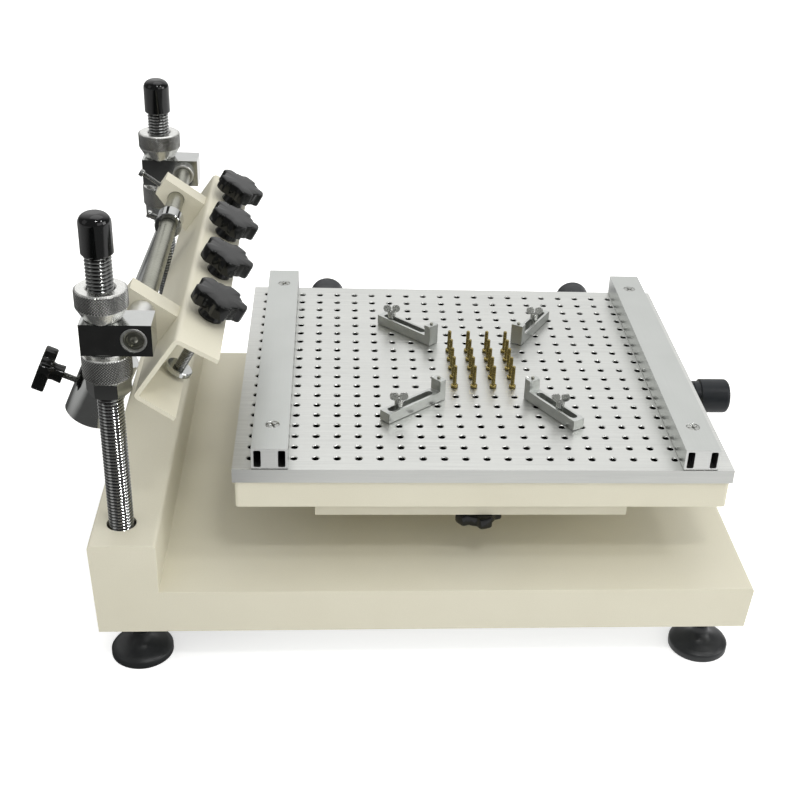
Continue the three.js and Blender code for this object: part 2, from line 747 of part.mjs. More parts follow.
// Pedestal, fixed stage, cross slide and the lock knob under the stage
const makeStage = () => {
  const group = new THREE.Group();
  const stageLeft = plateLeft + stageLeftInset;
  const stageRight = plateRight - stageRightInset;
  const stageFront = plateFront + stageEndInset;
  const stageBack = plateBack - stageEndInset;
  const crossSlideTop = trayBottom - crossSlideGap;
  const stageTop = crossSlideTop - crossSlideThickness;
  const stageBottom = stageTop - stageThickness;
  const stageX = (stageLeft + stageRight) / 2;
  const stageY = (stageFront + stageBack) / 2;
  const half = pedestalSide / 2;
  group.add(piece('pedestal', box(
    stageX - half, stageX + half, stageY - half, stageY + half,
    baseDeck + seatGap, stageBottom - seatGap,
  ), paint));
  const lockY = stageFront + platformLockInset;
  const stage = box(stageLeft, stageRight, stageFront, stageBack, stageBottom, stageTop);
  const studHole = barZ(lockStudRadius + turnGap, stageBottom - cutOverrun, stageTop + cutOverrun, 12)
    .translate(platformLockX, lockY, 0);
  group.add(piece('stage_plate', cut(stage, studHole), paint));
  const bossHalf = crossBossSide / 2;
  const slideBottom = stageTop + seatGap;
  const inset = crossSlideInset;
  group.add(piece('cross_slide', join(
    box(stageLeft + inset, stageRight - inset, stageFront + inset, stageBack - inset,
      slideBottom, crossSlideTop),
    box(stageX - bossHalf, stageX + bossHalf, stageY - bossHalf, stageY + bossHalf,
      slideBottom, trayTop - trayWall - seatGap),
  ), steel));
  const knobTop = stageBottom - seatGap;
  const knobBottom = knobTop - platformKnobThickness;
  const waist = platformKnobRadius * starWaist / starRadius;
  const knob = join(
    starHead(platformKnobRadius, waist, knobBottom, knobTop),
    barZ(lockStudRadius, knobTop - starEdge, stageTop, 12),
  ).translate(platformLockX, lockY, 0);
  group.add(piece('platform_lock_knob', knob, plastic));
  return group;
};

// A board clamp lies along its heading from the plate hole; its local X points at the board
const makeBoardClamp = ({ name, column, row, heading, slotShare }) => {
  const group = new THREE.Group();
  group.position.set(column * holePitch, row * holePitch, 0);
  group.rotation.z = THREE.MathUtils.degToRad(heading);
  const half = barWidth / 2;
  const slotLength = barLength - jawThickness - 2 * barSlotEnd;
  const slotStart = -slotShare * slotLength;
  const slotEnd = slotStart + slotLength;
  const tail = slotStart - barSlotEnd;
  const reach = tail + barLength;
  const slot = slotOutline(0, 0, barSlotWidth, slotLength);
  const slotTool = profileXY(
    new THREE.Shape(slot.getPoints(6)), seatGap - cutOverrun, barHeight + seatGap + cutOverrun,
  ).rotateZ(Math.PI / 2).translate((slotStart + slotEnd) / 2, 0, 0);
  const body = join(
    box(tail, reach, -half, half, seatGap, seatGap + barHeight),
    box(reach - jawThickness, reach, -half, half, seatGap, seatGap + jawHeight),
  );
  group.add(piece(`board_clamp_${name}`, cut(body, slotTool), aluminium));
  const hubBottom = seatGap + barHeight + seatGap;
  const hubTop = hubBottom + wingHubHeight;
  const ear = (side) => barY(wingEarRadius, -wingEarThickness / 2, wingEarThickness / 2, 12)
    .translate(side * wingEarSpread, 0, hubTop + wingEarRise);
  const screw = join(
    barZ(wingStemRadius, -plateThickness + seatGap, hubTop, 8),
    barZ(wingHubRadius, hubBottom, hubTop, 12),
    ear(-1),
    ear(1),
    box(-wingHubRadius, wingHubRadius, -wingEarThickness / 2, wingEarThickness / 2,
      hubTop - wingEarRadius, hubTop + wingEarRise / 2),
  ).rotateZ(-group.rotation.z);
  group.add(piece(`wing_screw_${name}`, screw, chrome));
  return group;
};

const makePins = () => {
  const group = new THREE.Group();
  for (let index = 0; index < pinCount; index += 1) {
    const pin = turned([
      [0, -plateThickness + seatGap],
      [pinTailRadius, -plateThickness + seatGap],
      [pinTailRadius, seatGap],
      [pinCollarRadius, seatGap],
      [pinCollarRadius, seatGap + pinCollarHeight],
      [pinRadius, seatGap + pinCollarHeight],
      [pinRadius, pinHeight - pinTipLength],
      [pinTipRadius, pinHeight - pinTipLength],
      [pinTipRadius, pinHeight],
      [0, pinHeight],
    ], 8).translate((pinFirstColumn + index) * holePitch, pinRow * holePitch, 0);
    group.add(piece(`support_pin_${index + 1}`, pin, brass));
  }
  return group;
};

const machine = new THREE.Group();
machine.add(makeBase(), makeFeet());

const carriage = new THREE.Group();
carriage.position.set(pivotX, middleY, pivotZ);
for (const end of [near, far]) {
  machine.add(makePost(end));
  carriage.add(makeNuts(end), makeBlock(end));
}
const beam = new THREE.Group();
beam.position.y = beamShift;
beam.rotation.y = THREE.MathUtils.degToRad(beamTilt);
beam.add(makeClampBeam());
knobPlaces.forEach((y, index) => beam.add(makeFrameScrew(y, index + 1)));
const pendulum = makeCounterweight();
pendulum.position.y = armShift;
pendulum.rotation.y = armLean;
carriage.add(beam, pendulum);
machine.add(carriage);

machine.add(makeStage(), makeTray(), makePlate(), makeAdjustKnobs(), makePins());
machine.add(...railPlaces.map(makeRail), ...boardClamps.map(makeBoardClamp));

// The origin goes to the middle of the footprint, on the bench
machine.updateMatrixWorld(true);
const bounds = new THREE.Box3().setFromObject(machine, true);
machine.position.set(
  -(bounds.min.x + bounds.max.x) / 2,
  -(bounds.min.y + bounds.max.y) / 2,
  -bounds.min.z,
);
const printer = new THREE.Group();
printer.name = 'stencil_printer';
printer.add(machine);

export default printer;
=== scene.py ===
# %% [markdown]
# # A bench stencil printer
#
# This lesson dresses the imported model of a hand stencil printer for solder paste. The machine is a cream
# painted base with two threaded posts on its left. The posts carry a chromed carriage, and on the carriage's
# shaft hangs a folded channel that clamps a stencil frame. A perforated aluminium plate stands in front of
# it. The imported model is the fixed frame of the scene: every piece made here lies where its solid lies.

# %% Load the frame
import math

import bmesh
import bpy
from mathutils import Matrix, Vector


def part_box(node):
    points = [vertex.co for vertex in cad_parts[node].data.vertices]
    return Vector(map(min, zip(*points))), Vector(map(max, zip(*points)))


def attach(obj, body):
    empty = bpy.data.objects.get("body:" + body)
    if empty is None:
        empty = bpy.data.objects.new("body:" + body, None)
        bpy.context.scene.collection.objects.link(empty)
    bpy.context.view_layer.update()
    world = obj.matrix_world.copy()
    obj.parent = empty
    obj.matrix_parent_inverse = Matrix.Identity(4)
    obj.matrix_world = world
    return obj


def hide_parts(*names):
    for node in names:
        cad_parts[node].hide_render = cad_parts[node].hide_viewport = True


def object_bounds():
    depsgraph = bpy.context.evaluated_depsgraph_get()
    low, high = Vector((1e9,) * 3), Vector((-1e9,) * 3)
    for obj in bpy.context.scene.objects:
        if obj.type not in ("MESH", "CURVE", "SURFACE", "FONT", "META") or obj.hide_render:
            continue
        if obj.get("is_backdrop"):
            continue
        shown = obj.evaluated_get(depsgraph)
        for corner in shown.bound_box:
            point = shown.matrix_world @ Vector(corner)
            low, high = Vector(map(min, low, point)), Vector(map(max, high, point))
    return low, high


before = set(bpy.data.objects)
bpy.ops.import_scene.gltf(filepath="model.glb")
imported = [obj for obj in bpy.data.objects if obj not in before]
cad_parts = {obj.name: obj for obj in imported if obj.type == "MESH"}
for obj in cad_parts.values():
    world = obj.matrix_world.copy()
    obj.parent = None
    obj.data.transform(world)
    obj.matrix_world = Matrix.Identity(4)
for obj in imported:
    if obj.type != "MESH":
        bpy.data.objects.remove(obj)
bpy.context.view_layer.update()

# %% [markdown]
# ## Units and places
#
# Blender works in metres and a machine drawing in millimetres, so every size below is written in
# millimetres and multiplied by `mm`. Places are counted from the plate's front left hole, on its top
# face, because that is how a machinist would mark them out.

# %% Units and places
mm = 0.001
scene = bpy.context.scene
plate_low, plate_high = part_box("work_plate")
left_margin, right_margin, end_margin = 11.7, 10, 15
corner_hole = Vector((plate_low.x + left_margin * mm, plate_low.y + end_margin * mm, plate_high.z))


def spot(x, y, z):
    """A place in millimetres from the corner hole, as a point of the scene."""
    return corner_hole + Vector((x, y, z)) * mm


def foot_of(node):
    """The middle of the lower side of a CAD node's box, as a matrix that moves a piece there."""
    low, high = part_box(node)
    return Matrix.Translation(((low.x + high.x) / 2, (low.y + high.y) / 2, low.z))


def middle_of(node):
    low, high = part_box(node)
    return (low + high) / 2


def linked(name, data):
    """A new object of the scene."""
    thing = bpy.data.objects.new(name, data)
    scene.collection.objects.link(thing)
    return thing


print("corner hole at", tuple(round(v, 4) for v in corner_hole))

# %% [markdown]
# ## Camera
#
# The photograph was taken from the front, a little to the left and thirty degrees above the bench. The
# camera's place and lens were fitted to the plate's hole grid, whose pitch is taken as 15 mm. The picture
# is a crop, so the lens axis isn't in its middle, and a small lens shift gives the same crop.

# %% Camera
camera_azimuth, camera_elevation, camera_roll = (math.radians(v) for v in (-6.44, 29.98, 3.6))
camera_spot = (56.64, -775.21, 481.56)
back = Vector((
    math.sin(camera_azimuth) * math.cos(camera_elevation),
    -math.cos(camera_azimuth) * math.cos(camera_elevation),
    math.sin(camera_elevation),
))
right = (-back).cross(Vector((0, 0, 1))).normalized()
up = right.cross(-back)
right, up = (
    right * math.cos(camera_roll) + up * math.sin(camera_roll),
    up * math.cos(camera_roll) - right * math.sin(camera_roll),
)
camera_data = bpy.data.cameras.new("photo_camera")
camera_data.sensor_width = 36
camera_data.lens = 58.74
camera_data.shift_x, camera_data.shift_y = -0.075, 0.025
camera = linked("photo_camera", camera_data)
camera_turn = Matrix((right, up, back)).transposed().to_4x4()
camera.matrix_world = Matrix.Translation(spot(*camera_spot)) @ camera_turn
scene.camera = camera
print("camera", tuple(round(v, 3) for v in camera.location))

# %% [markdown]
# ## One helper for nodes
#
# Materials and Geometry Nodes are both node trees. A single helper adds a node, sets its options, and
# fills each input with a value or with a link from another node. Colours are written as sRGB hex values,
# as a paint chart or picture gives them, and one function turns them into the linear values of Blender.

# %% Nodes and colours
def add(tree, kind, options=None, inputs=None):
    """Adds one node to a tree. An input is filled with a value, or linked if it is given a socket."""
    node = tree.nodes.new(kind)
    for name, value in (options or {}).items():
        setattr(node, name, value)
    for key, value in (inputs or {}).items():
        if isinstance(value, bpy.types.NodeSocket):
            tree.links.new(value, node.inputs[key])
        else:
            node.inputs[key].default_value = value
    return node


def linear(hex_colour):
    """An sRGB colour such as D8D3BF as linear red, green, blue and alpha."""
    parts = [int(hex_colour[k:k + 2], 16) / 255 for k in (0, 2, 4)]
    return [p / 12.92 if p <= 0.04045 else ((p + 0.055) / 1.055) ** 2.4 for p in parts] + [1]


def new_material(name):
    """An empty node material, its tree, its shader and a point's place on the object in millimetres."""
    material = bpy.data.materials.new(name)
    material.use_nodes = True
    tree = material.node_tree
    tree.nodes.clear()
    shader = add(tree, "ShaderNodeBsdfPrincipled")
    add(tree, "ShaderNodeOutputMaterial", inputs={"Surface": shader.outputs[0]})
    place = add(tree, "ShaderNodeTexCoord").outputs["Object"]
    millimetres = add(tree, "ShaderNodeVectorMath", {"operation": "SCALE"}, {0: place, "Scale": 1 / mm})
    return material, tree, shader, millimetres.outputs[0]


def connect(tree, shader, colour, rough, bump):
    """Links a colour, a roughness and a bump to a shader."""
    for value, name in ((colour, "Base Color"), (rough, "Roughness"), (bump, "Normal")):
        tree.links.new(value, shader.inputs[name])


print("cream is", [round(v, 3) for v in linear("D8D3BF")])

# %% [markdown]
# ## Cream powder coat
#
# The sheet metal is powder coated in a warm, pale cream. Powder melts into a satin skin with a faint
# orange peel, a ripple 1 to 3 mm wide. Handling leaves the coat a little darker in broad patches. A soft
# noise moves the roughness and the colour by a few per cent, and a finer one gives the ripple as bump.

# %% Cream powder coat
noise_low, noise_high = 0.3, 0.7  # a noise seldom leaves this range, so each is stretched from here


def make_paint():
    material, tree, shader, place = new_material("Cream powder coat")
    patches = add(tree, "ShaderNodeTexNoise", inputs={"Vector": place, "Scale": 0.012, "Detail": 3})
    tone = add(tree, "ShaderNodeMix", {"data_type": "RGBA"}, {
        "Factor": patches.outputs["Fac"], 6: linear("D3CEB9"), 7: linear("DFDBC8"),
    })
    specks = add(tree, "ShaderNodeTexNoise", inputs={"Vector": place, "Scale": 1.4, "Detail": 2})
    fleck = add(tree, "ShaderNodeMapRange", inputs={
        "Value": specks.outputs["Fac"], "From Min": noise_low, "From Max": noise_high,
        "To Min": 0.975, "To Max": 1.015,
    })
    colour = add(tree, "ShaderNodeVectorMath", {"operation": "SCALE"}, {
        0: tone.outputs[2], "Scale": fleck.outputs[0],
    })
    rough = add(tree, "ShaderNodeMapRange", inputs={
        "Value": patches.outputs["Fac"], "From Min": noise_low, "From Max": noise_high,
        "To Min": 0.4, "To Max": 0.52,
    })
    peel = add(tree, "ShaderNodeTexNoise", inputs={"Vector": place, "Scale": 0.45, "Detail": 2})
    bump = add(tree, "ShaderNodeBump", inputs={
        "Height": peel.outputs["Fac"], "Strength": 0.12, "Distance": 0.3 * mm,
    })
    connect(tree, shader, colour.outputs[0], rough.outputs[0], bump.outputs[0])
    return material


cream_paint = make_paint()
print(cream_paint.name)

# %% [markdown]
# ## Metals
#
# The metal finishes share one recipe: a colour, a roughness that a stretched noise moves, and a bump from
# the same noise. The stretch is what tells them apart. Turned steel has fine rings, extruded aluminium has
# lines along its length, and chrome has almost none, only a few wipe marks. Each is one call with the
# finish's own lengths in millimetres. The recipe also paints shade into threads and knurls: it darkens a
# surface by its `groove` value, which the trees that cut the grooves will store.

# %% Metals
def make_metal(name, colour, dark, roughness, spread, grain, depth, groove_shade_tone=0.12, streak=0.03):
    """grain is how long the marks are along X, Y and Z, in millimetres, and depth how deep they are."""
    material, tree, shader, place = new_material(name)
    stretched = add(tree, "ShaderNodeMapping", inputs={"Vector": place, "Scale": [1 / g for g in grain]})
    marks = add(tree, "ShaderNodeTexNoise", inputs={
        "Vector": stretched.outputs[0], "Scale": 1, "Detail": 4,
    }).outputs["Fac"]
    cloud = add(tree, "ShaderNodeTexNoise", inputs={"Vector": place, "Scale": 0.03, "Detail": 3})
    blend = add(tree, "ShaderNodeMath", {"operation": "MULTIPLY_ADD"}, {
        0: cloud.outputs["Fac"], 1: 0.6, 2: 0.1,
    })
    tone = add(tree, "ShaderNodeMix", {"data_type": "RGBA"}, {
        "Factor": blend.outputs[0], 6: linear(colour), 7: linear(dark),
    })
    groove = add(tree, "ShaderNodeAttribute", {"attribute_name": "groove"})
    # Painted shade: the deeper a point lies in a thread or knurl groove, the darker its colour.
    painted_groove_shade = add(tree, "ShaderNodeMapRange", inputs={
        "Value": groove.outputs["Fac"], "From Min": 0.15, "From Max": 0.85,
        "To Min": 1, "To Max": groove_shade_tone,
    })
    brushed = add(tree, "ShaderNodeMapRange", inputs={
        "Value": marks, "From Min": noise_low, "From Max": noise_high,
        "To Min": 1 - streak, "To Max": 1 + streak,
    })
    # Painted groove shade times the random streaks of the grain, which then scales the colour.
    groove_shade_and_streaks = add(tree, "ShaderNodeMath", {"operation": "MULTIPLY"}, {0: painted_groove_shade.outputs[0], 1: brushed.outputs[0]})
    oiled = add(tree, "ShaderNodeVectorMath", {"operation": "SCALE"}, {
        0: tone.outputs[2], "Scale": groove_shade_and_streaks.outputs[0],
    })
    rough = add(tree, "ShaderNodeMapRange", inputs={
        "Value": marks, "From Min": noise_low, "From Max": noise_high,
        "To Min": roughness - spread, "To Max": roughness + spread,
    })
    bump = add(tree, "ShaderNodeBump", inputs={"Height": marks, "Strength": 0.25, "Distance": depth * mm})
    connect(tree, shader, oiled.outputs[0], rough.outputs[0], bump.outputs[0])
    shader.inputs["Metallic"].default_value = 1
    return material


# Bright plate on the posts, the blocks, the hexagon nuts and the counterweight.
chrome = make_metal("Polished chrome plate", "C9CAC8", "B5B7B5", 0.1, 0.04, (9, 9, 9), 0.02)
# Screws and studs, with the lathe's fine rings under a thin zinc plate.
turned_steel = make_metal("Turned and plated steel", "B9BAB6", "9C9D99", 0.27, 0.06, (8, 8, 0.5), 0.04)
# The nuts: bright ridges, with painted shade in the knurl's grooves.
knurled_steel = make_metal("Knurled steel", "F0F0EC", "D4D4D0", 0.26, 0.06, (0.8, 0.8, 0.8), 0.02, 0.05, 0.12)
# The wing screws, cast and plated, with a slightly grainy skin.
cast_zinc = make_metal("Plated zinc casting", "DCDDD9", "C2C3C0", 0.26, 0.05, (2, 2, 2), 0.03)
# The pivot shaft, ground round its axis and kept under a brown film of oil.
ground_steel = make_metal("Ground and oiled steel", "B4B4A8", "7C7C70", 0.3, 0.06, (6, 0.6, 6), 0.04)
# The insides of holes and screw recesses, dark as painted shade.
painted_bore_shade = make_metal("Drilled and oiled bore", "2C2C2A", "1C1C1B", 0.55, 0.08, (3, 3, 0.4), 0.05)
# The work plate: long milling marks along X.
milled_plate = make_metal("Milled aluminium plate", "D8D9D5", "CACBC8", 0.38, 0.08, (70, 0.9, 4), 0.06,
                          streak=0.1)
# The rails and board clamps: lines along the bar, from the extrusion die.
drawn_rail = make_metal("Extruded aluminium rail", "CACCC9", "BABDB9", 0.35, 0.06, (0.6, 90, 0.6), 0.03)
# The rails' ends, rougher where the saw went through, and painted paler as painted light.
sawn_end_painted_pale = make_metal("Sawn aluminium end", "F4F5F2", "E6E7E4", 0.5, 0.05, (9, 0.7, 0.5), 0.03)
# The pivot bushes, faced on the lathe and left bare, and painted paler as painted highlight.
turned_steel_painted_pale = make_metal("Bright turned steel", "E4E4E0", "CFCFCB", 0.42, 0.06, (8, 8, 0.5), 0.04)
# The support pins, a little dull and brown from handling.
brass = make_metal("Turned brass", "A99A62", "7F6F3E", 0.25, 0.06, (3, 3, 0.4), 0.03)
print([m.name for m in (chrome, turned_steel, knurled_steel, cast_zinc, ground_steel, painted_bore_shade)])
print([m.name for m in (milled_plate, drawn_rail, sawn_end_painted_pale, turned_steel_painted_pale, brass)])

# %% [markdown]
# ## Black plastics
#
# The star knobs are moulded phenolic resin: black, smooth and half glossy, with a very faint flow pattern.
# The post caps are dipped vinyl, softer and glossier, so their highlights are broad and wet. The levelling
# feet are rubber, which is greyer and scatters most of its light.

# %% Black plastics
def make_black(name, colour, worn, roughness, ripple, depth, specular=0.5):
    """ripple is the size of the surface's unevenness and depth its height, in millimetres."""
    material, tree, shader, place = new_material(name)
    wear = add(tree, "ShaderNodeTexNoise", inputs={"Vector": place, "Scale": 0.09, "Detail": 4})
    tone = add(tree, "ShaderNodeMix", {"data_type": "RGBA"}, {
        "Factor": wear.outputs["Fac"], 6: linear(colour), 7: linear(worn),
    })
    rough = add(tree, "ShaderNodeMapRange", inputs={
        "Value": wear.outputs["Fac"], "From Min": noise_low, "From Max": noise_high,
        "To Min": roughness * 0.85, "To Max": roughness * 1.15,
    })
    skin = add(tree, "ShaderNodeTexNoise", inputs={"Vector": place, "Scale": 1 / ripple, "Detail": 3})
    bump = add(tree, "ShaderNodeBump", inputs={
        "Height": skin.outputs["Fac"], "Strength": 0.3, "Distance": depth * mm,
    })
    connect(tree, shader, tone.outputs[2], rough.outputs[0], bump.outputs[0])
    shader.inputs["Specular IOR Level"].default_value = specular
    return material


# The star knobs' hard resin, the caps' dipped skin, the cylinder knobs and the feet, from glossy to dull.
phenolic = make_black("Moulded black phenolic", "070807", "0C0D0C", 0.13, 1.2, 0.02, specular=0.35)
vinyl = make_black("Dipped black vinyl", "050606", "080909", 0.08, 2.5, 0.02, specular=0.6)
nylon = make_black("Moulded grey nylon", "0D1216", "151A1F", 0.42, 0.6, 0.03, specular=0.35)
rubber = make_black("Black rubber", "1B1D1E", "262829", 0.38, 0.5, 0.04)
print([m.name for m in (phenolic, vinyl, nylon, rubber)])

# %% [markdown]
# ## From a mesh to a finished piece
#
# Three small functions turn a mesh into a piece. `object_from` closes the mesh, points its faces outwards
# and shades it smooth up to a crease angle. `settle` moves the mesh into place, so that the object itself
# stays at the origin. `seat` gives it its finish and says which body it rides on and which CAD node it
# stands for.

# %% Pieces
def object_from(bm, name, crease=35):
    bmesh.ops.recalc_face_normals(bm, faces=bm.faces)
    mesh = bpy.data.meshes.new(name)
    bm.to_mesh(mesh)
    bm.free()
    piece = linked(name, mesh)
    shade(piece, crease)
    return piece


def shade(piece, crease=35):
    piece.data.polygons.foreach_set("use_smooth", [True] * len(piece.data.polygons))
    piece.data.set_sharp_from_angle(angle=math.radians(crease))


def applied(piece):
    """Turns the result of a piece's modifiers into its plain mesh."""
    graph = bpy.context.evaluated_depsgraph_get()
    made = bpy.data.meshes.new_from_object(piece.evaluated_get(graph))
    piece.modifiers.clear()
    piece.data = made
    return piece


def crisp(piece, crease=40):
    """Keeps flat faces flat: each corner's normal follows the largest face that meets there."""
    shade(piece, crease)
    weighted = piece.modifiers.new("Weighted normals", "WEIGHTED_NORMAL")
    weighted.keep_sharp = True
    return applied(piece)


def settle(piece, matrix):
    piece.data.transform(matrix)
    if matrix.determinant() < 0:
        piece.data.flip_normals()
    return piece


def seat(piece, body, finish, *nodes):
    piece.data.materials.clear()
    piece.data.materials.append(finish)
    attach(piece, body)
    if nodes:
        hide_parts(*nodes)
    print(f"{piece.name}: {len(piece.data.polygons)} faces on {body}")
    return piece


def second_finish(piece, finish, chosen):
    """Gives a second material to the faces that the function chosen picks."""
    piece.data.materials.append(finish)
    for face in piece.data.polygons:
        face.material_index = int(chosen(face))


def merged(*pieces):
    """Joins meshes into the first piece."""
    bm = bmesh.new()
    for piece in pieces:
        bm.from_mesh(piece.data)
    name = pieces[0].name
    for piece in pieces:
        bpy.data.objects.remove(piece)
    return object_from(bm, name)


# %% [markdown]
# ## Turned pieces
#
# Much of the machine comes off a lathe: nuts, caps, pins, feet, bushes and screws. A turned piece is a
# profile of radius and height swept round an axis. A profile that starts and ends on the axis is solid,
# and one that is closed on itself leaves a bore.

# %% Turned pieces
def turned(name, profile, segments=48, bored=False):
    """profile is a list of radius and height in millimetres."""
    bm = bmesh.new()
    angles = [2 * math.pi * k / segments for k in range(segments)]
    rows = [
        [bm.verts.new((r * mm * math.cos(a), r * mm * math.sin(a), z * mm)) for a in (angles if r else [0])]
        for r, z in profile
    ]
    for low, high in zip(rows, rows[1:] + rows[:1] if bored else rows[1:]):
        for k in range(segments):
            corners = (low, k), (low, k + 1), (high, k + 1), (high, k)
            face = dict.fromkeys(row[place % len(row)] for row, place in corners)
            if len(face) > 2:
                bm.faces.new(face)
    return object_from(bm, name)


def rod(radius, z0, z1, step=math.inf, chamfer=0.6):
    """The profile of a rod with chamfered ends and a row of points every step, for a thread to be cut."""
    span = z1 - z0 - 2 * chamfer
    count = max(1, round(span / step))
    rows = [(radius, z0 + chamfer + span * k / count) for k in range(count + 1)]
    return [(0, z0), (radius - chamfer, z0), *rows, (radius - chamfer, z1), (0, z1)]


# %% [markdown]
# ## Threads and knurls by Geometry Nodes
#
# A thread is a groove that climbs one pitch with each turn, and a knurl is two sets of grooves that cross.
# Both are rules, so a node tree cuts them: it reads where a point is round and along the axis, works out
# how deep the groove is there, and moves the point inwards. The same two trees then serve every screw and
# nut. A modifier gets its sizes through the identifiers of the tree's inputs, and its result is turned
# into a plain mesh.

# %% Node tree frame
def new_tree(name, sizes):
    """A geometry tree with an input for each named size, and its input node."""
    tree = bpy.data.node_groups.new(name, "GeometryNodeTree")
    tree.interface.new_socket("Geometry", in_out="INPUT", socket_type="NodeSocketGeometry")
    kinds = {"Piece": "NodeSocketObject", "Finish": "NodeSocketMaterial"}
    for size in [*sizes, "Finish"]:
        tree.interface.new_socket(size, in_out="INPUT", socket_type=kinds.get(size, "NodeSocketFloat"))
    tree.interface.new_socket("Geometry", in_out="OUTPUT", socket_type="NodeSocketGeometry")
    return tree, add(tree, "NodeGroupInput").outputs


def close_tree(tree, geometry, finish):
    """Ends a tree in Realize Instances and Set Material."""
    real = add(tree, "GeometryNodeRealizeInstances", inputs={0: geometry})
    painted = add(tree, "GeometryNodeSetMaterial", inputs={"Geometry": real.outputs[0], "Material": finish})
    add(tree, "NodeGroupOutput", inputs={0: painted.outputs[0]})


def grow(piece, tree, **values):
    """Runs a tree on a piece and keeps the result as its plain mesh."""
    modifier = piece.modifiers.new(tree.name, "NODES")
    modifier.node_group = tree
    for item in tree.interface.items_tree:
        if item.in_out == "INPUT" and item.name in values:
            modifier[item.identifier] = values[item.name]
    applied(piece).data.name = piece.name
    return piece


# %% Thread and knurl trees
def make_cutter(name, knurled):
    """Moves the points on the outer radius inwards, by a thread's groove or by a knurl's."""
    tree, size = new_tree(name, ["Radius", "Depth", "Pitch", "Around"])
    place = add(tree, "GeometryNodeInputPosition").outputs[0]
    axis = add(tree, "ShaderNodeSeparateXYZ", inputs={0: place}).outputs
    angle = add(tree, "ShaderNodeMath", {"operation": "ARCTAN2"}, {0: axis[1], 1: axis[0]})
    turns = add(tree, "ShaderNodeMath", {"operation": "DIVIDE"}, {0: angle.outputs[0], 1: 2 * math.pi})
    starts = add(tree, "ShaderNodeMath", {"operation": "MULTIPLY"}, {0: turns.outputs[0], 1: size["Around"]})
    along = add(tree, "ShaderNodeMath", {"operation": "DIVIDE"}, {0: axis[2], 1: size["Pitch"]})
    waves = []
    for operation in ("SUBTRACT", "ADD") if knurled else ("SUBTRACT",):
        phase = add(tree, "ShaderNodeMath", {"operation": operation}, {
            0: along.outputs[0], 1: starts.outputs[0],
        })
        wave = add(tree, "ShaderNodeMath", {"operation": "PINGPONG"}, {0: phase.outputs[0], 1: 0.5})
        waves.append(wave.outputs[0])
    ridge = add(tree, "ShaderNodeMath", {"operation": "MINIMUM"}, {0: waves[0], 1: waves[-1]})
    fall = add(tree, "ShaderNodeMath", {"operation": "MULTIPLY_ADD"}, {0: ridge.outputs[0], 1: 2, 2: -1})
    flat = add(tree, "ShaderNodeCombineXYZ", inputs={"X": axis[0], "Y": axis[1]})
    outer = add(tree, "ShaderNodeVectorMath", {"operation": "LENGTH"}, {0: flat.outputs[0]})
    skin = add(tree, "ShaderNodeMath", {"operation": "MULTIPLY"}, {0: size["Radius"], 1: 0.995})
    on_skin = add(tree, "ShaderNodeMath", {"operation": "GREATER_THAN"}, {
        0: outer.outputs["Value"], 1: skin.outputs[0],
    })
    depth = add(tree, "ShaderNodeMath", {"operation": "MULTIPLY"}, {0: fall.outputs[0], 1: size["Depth"]})
    radial = add(tree, "ShaderNodeVectorMath", {"operation": "NORMALIZE"}, {0: flat.outputs[0]})
    move = add(tree, "ShaderNodeVectorMath", {"operation": "SCALE"}, {
        0: radial.outputs[0], "Scale": depth.outputs[0],
    })
    # The groove's depth share is stored so that the metals can paint shade into the groove.
    share = add(tree, "ShaderNodeMath", {"operation": "MULTIPLY"}, {0: fall.outputs[0], 1: -1})
    marked = add(tree, "GeometryNodeStoreNamedAttribute", {"data_type": "FLOAT", "domain": "POINT"}, {
        "Geometry": size["Geometry"], "Selection": on_skin.outputs[0], "Name": "groove",
        "Value": share.outputs[0],
    })
    moved = add(tree, "GeometryNodeSetPosition", inputs={
        "Geometry": marked.outputs[0], "Selection": on_skin.outputs[0], "Offset": move.outputs[0],
    })
    close_tree(tree, moved.outputs[0], size["Finish"])
    return tree


thread_depth_share = 0.55
thread_tree = make_cutter("Thread", knurled=False)
knurl_tree = make_cutter("Knurl", knurled=True)


def threaded(name, radius, z0, z1, pitch, segments=28, rows_per_pitch=6, finish=None):
    """A threaded rod about Z. Its groove is a little over half of the pitch deep, as a metric thread's is."""
    piece = turned(name, rod(radius, z0, z1, pitch / rows_per_pitch, chamfer=pitch / 3), segments)
    grow(piece, thread_tree, Radius=radius * mm, Depth=thread_depth_share * pitch * mm, Pitch=pitch * mm,
         Around=1.0, Finish=finish or turned_steel)
    shade(piece, 60)
    return piece


print("trees:", [tree.name for tree in (thread_tree, knurl_tree)])

# %% [markdown]
# ## Copies by Geometry Nodes
#
# Pins, screws and holes are the same piece at many places. One tree sets a copy on each point of a mesh
# and turns it by the point's own `turn` value. Instances don't survive an export, so the tree ends by
# making them real.

# %% Copies tree
def make_copies_tree():
    tree, size = new_tree("Copies", ["Piece"])
    model = add(tree, "GeometryNodeObjectInfo", inputs={"Object": size["Piece"]})
    turn = add(tree, "GeometryNodeInputNamedAttribute", {"data_type": "FLOAT"}, {"Name": "turn"})
    spin = add(tree, "ShaderNodeCombineXYZ", inputs={"Z": turn.outputs[0]})
    copies = add(tree, "GeometryNodeInstanceOnPoints", inputs={
        "Points": size["Geometry"], "Instance": model.outputs["Geometry"], "Rotation": spin.outputs[0],
    })
    close_tree(tree, copies.outputs[0], size["Finish"])
    return tree


copies_tree = make_copies_tree()


def copied(name, model, places, finish, turns=None, crease=35):
    """One mesh that holds the model at every place. The model itself is removed."""
    points = bpy.data.meshes.new(name)
    points.from_pydata(places, [], [])
    turn = points.attributes.new("turn", "FLOAT", "POINT")
    turn.data.foreach_set("value", turns or [0.0] * len(places))
    piece = grow(linked(name, points), copies_tree, Piece=model, Finish=finish)
    bpy.data.objects.remove(model)
    shade(piece, crease)
    return piece


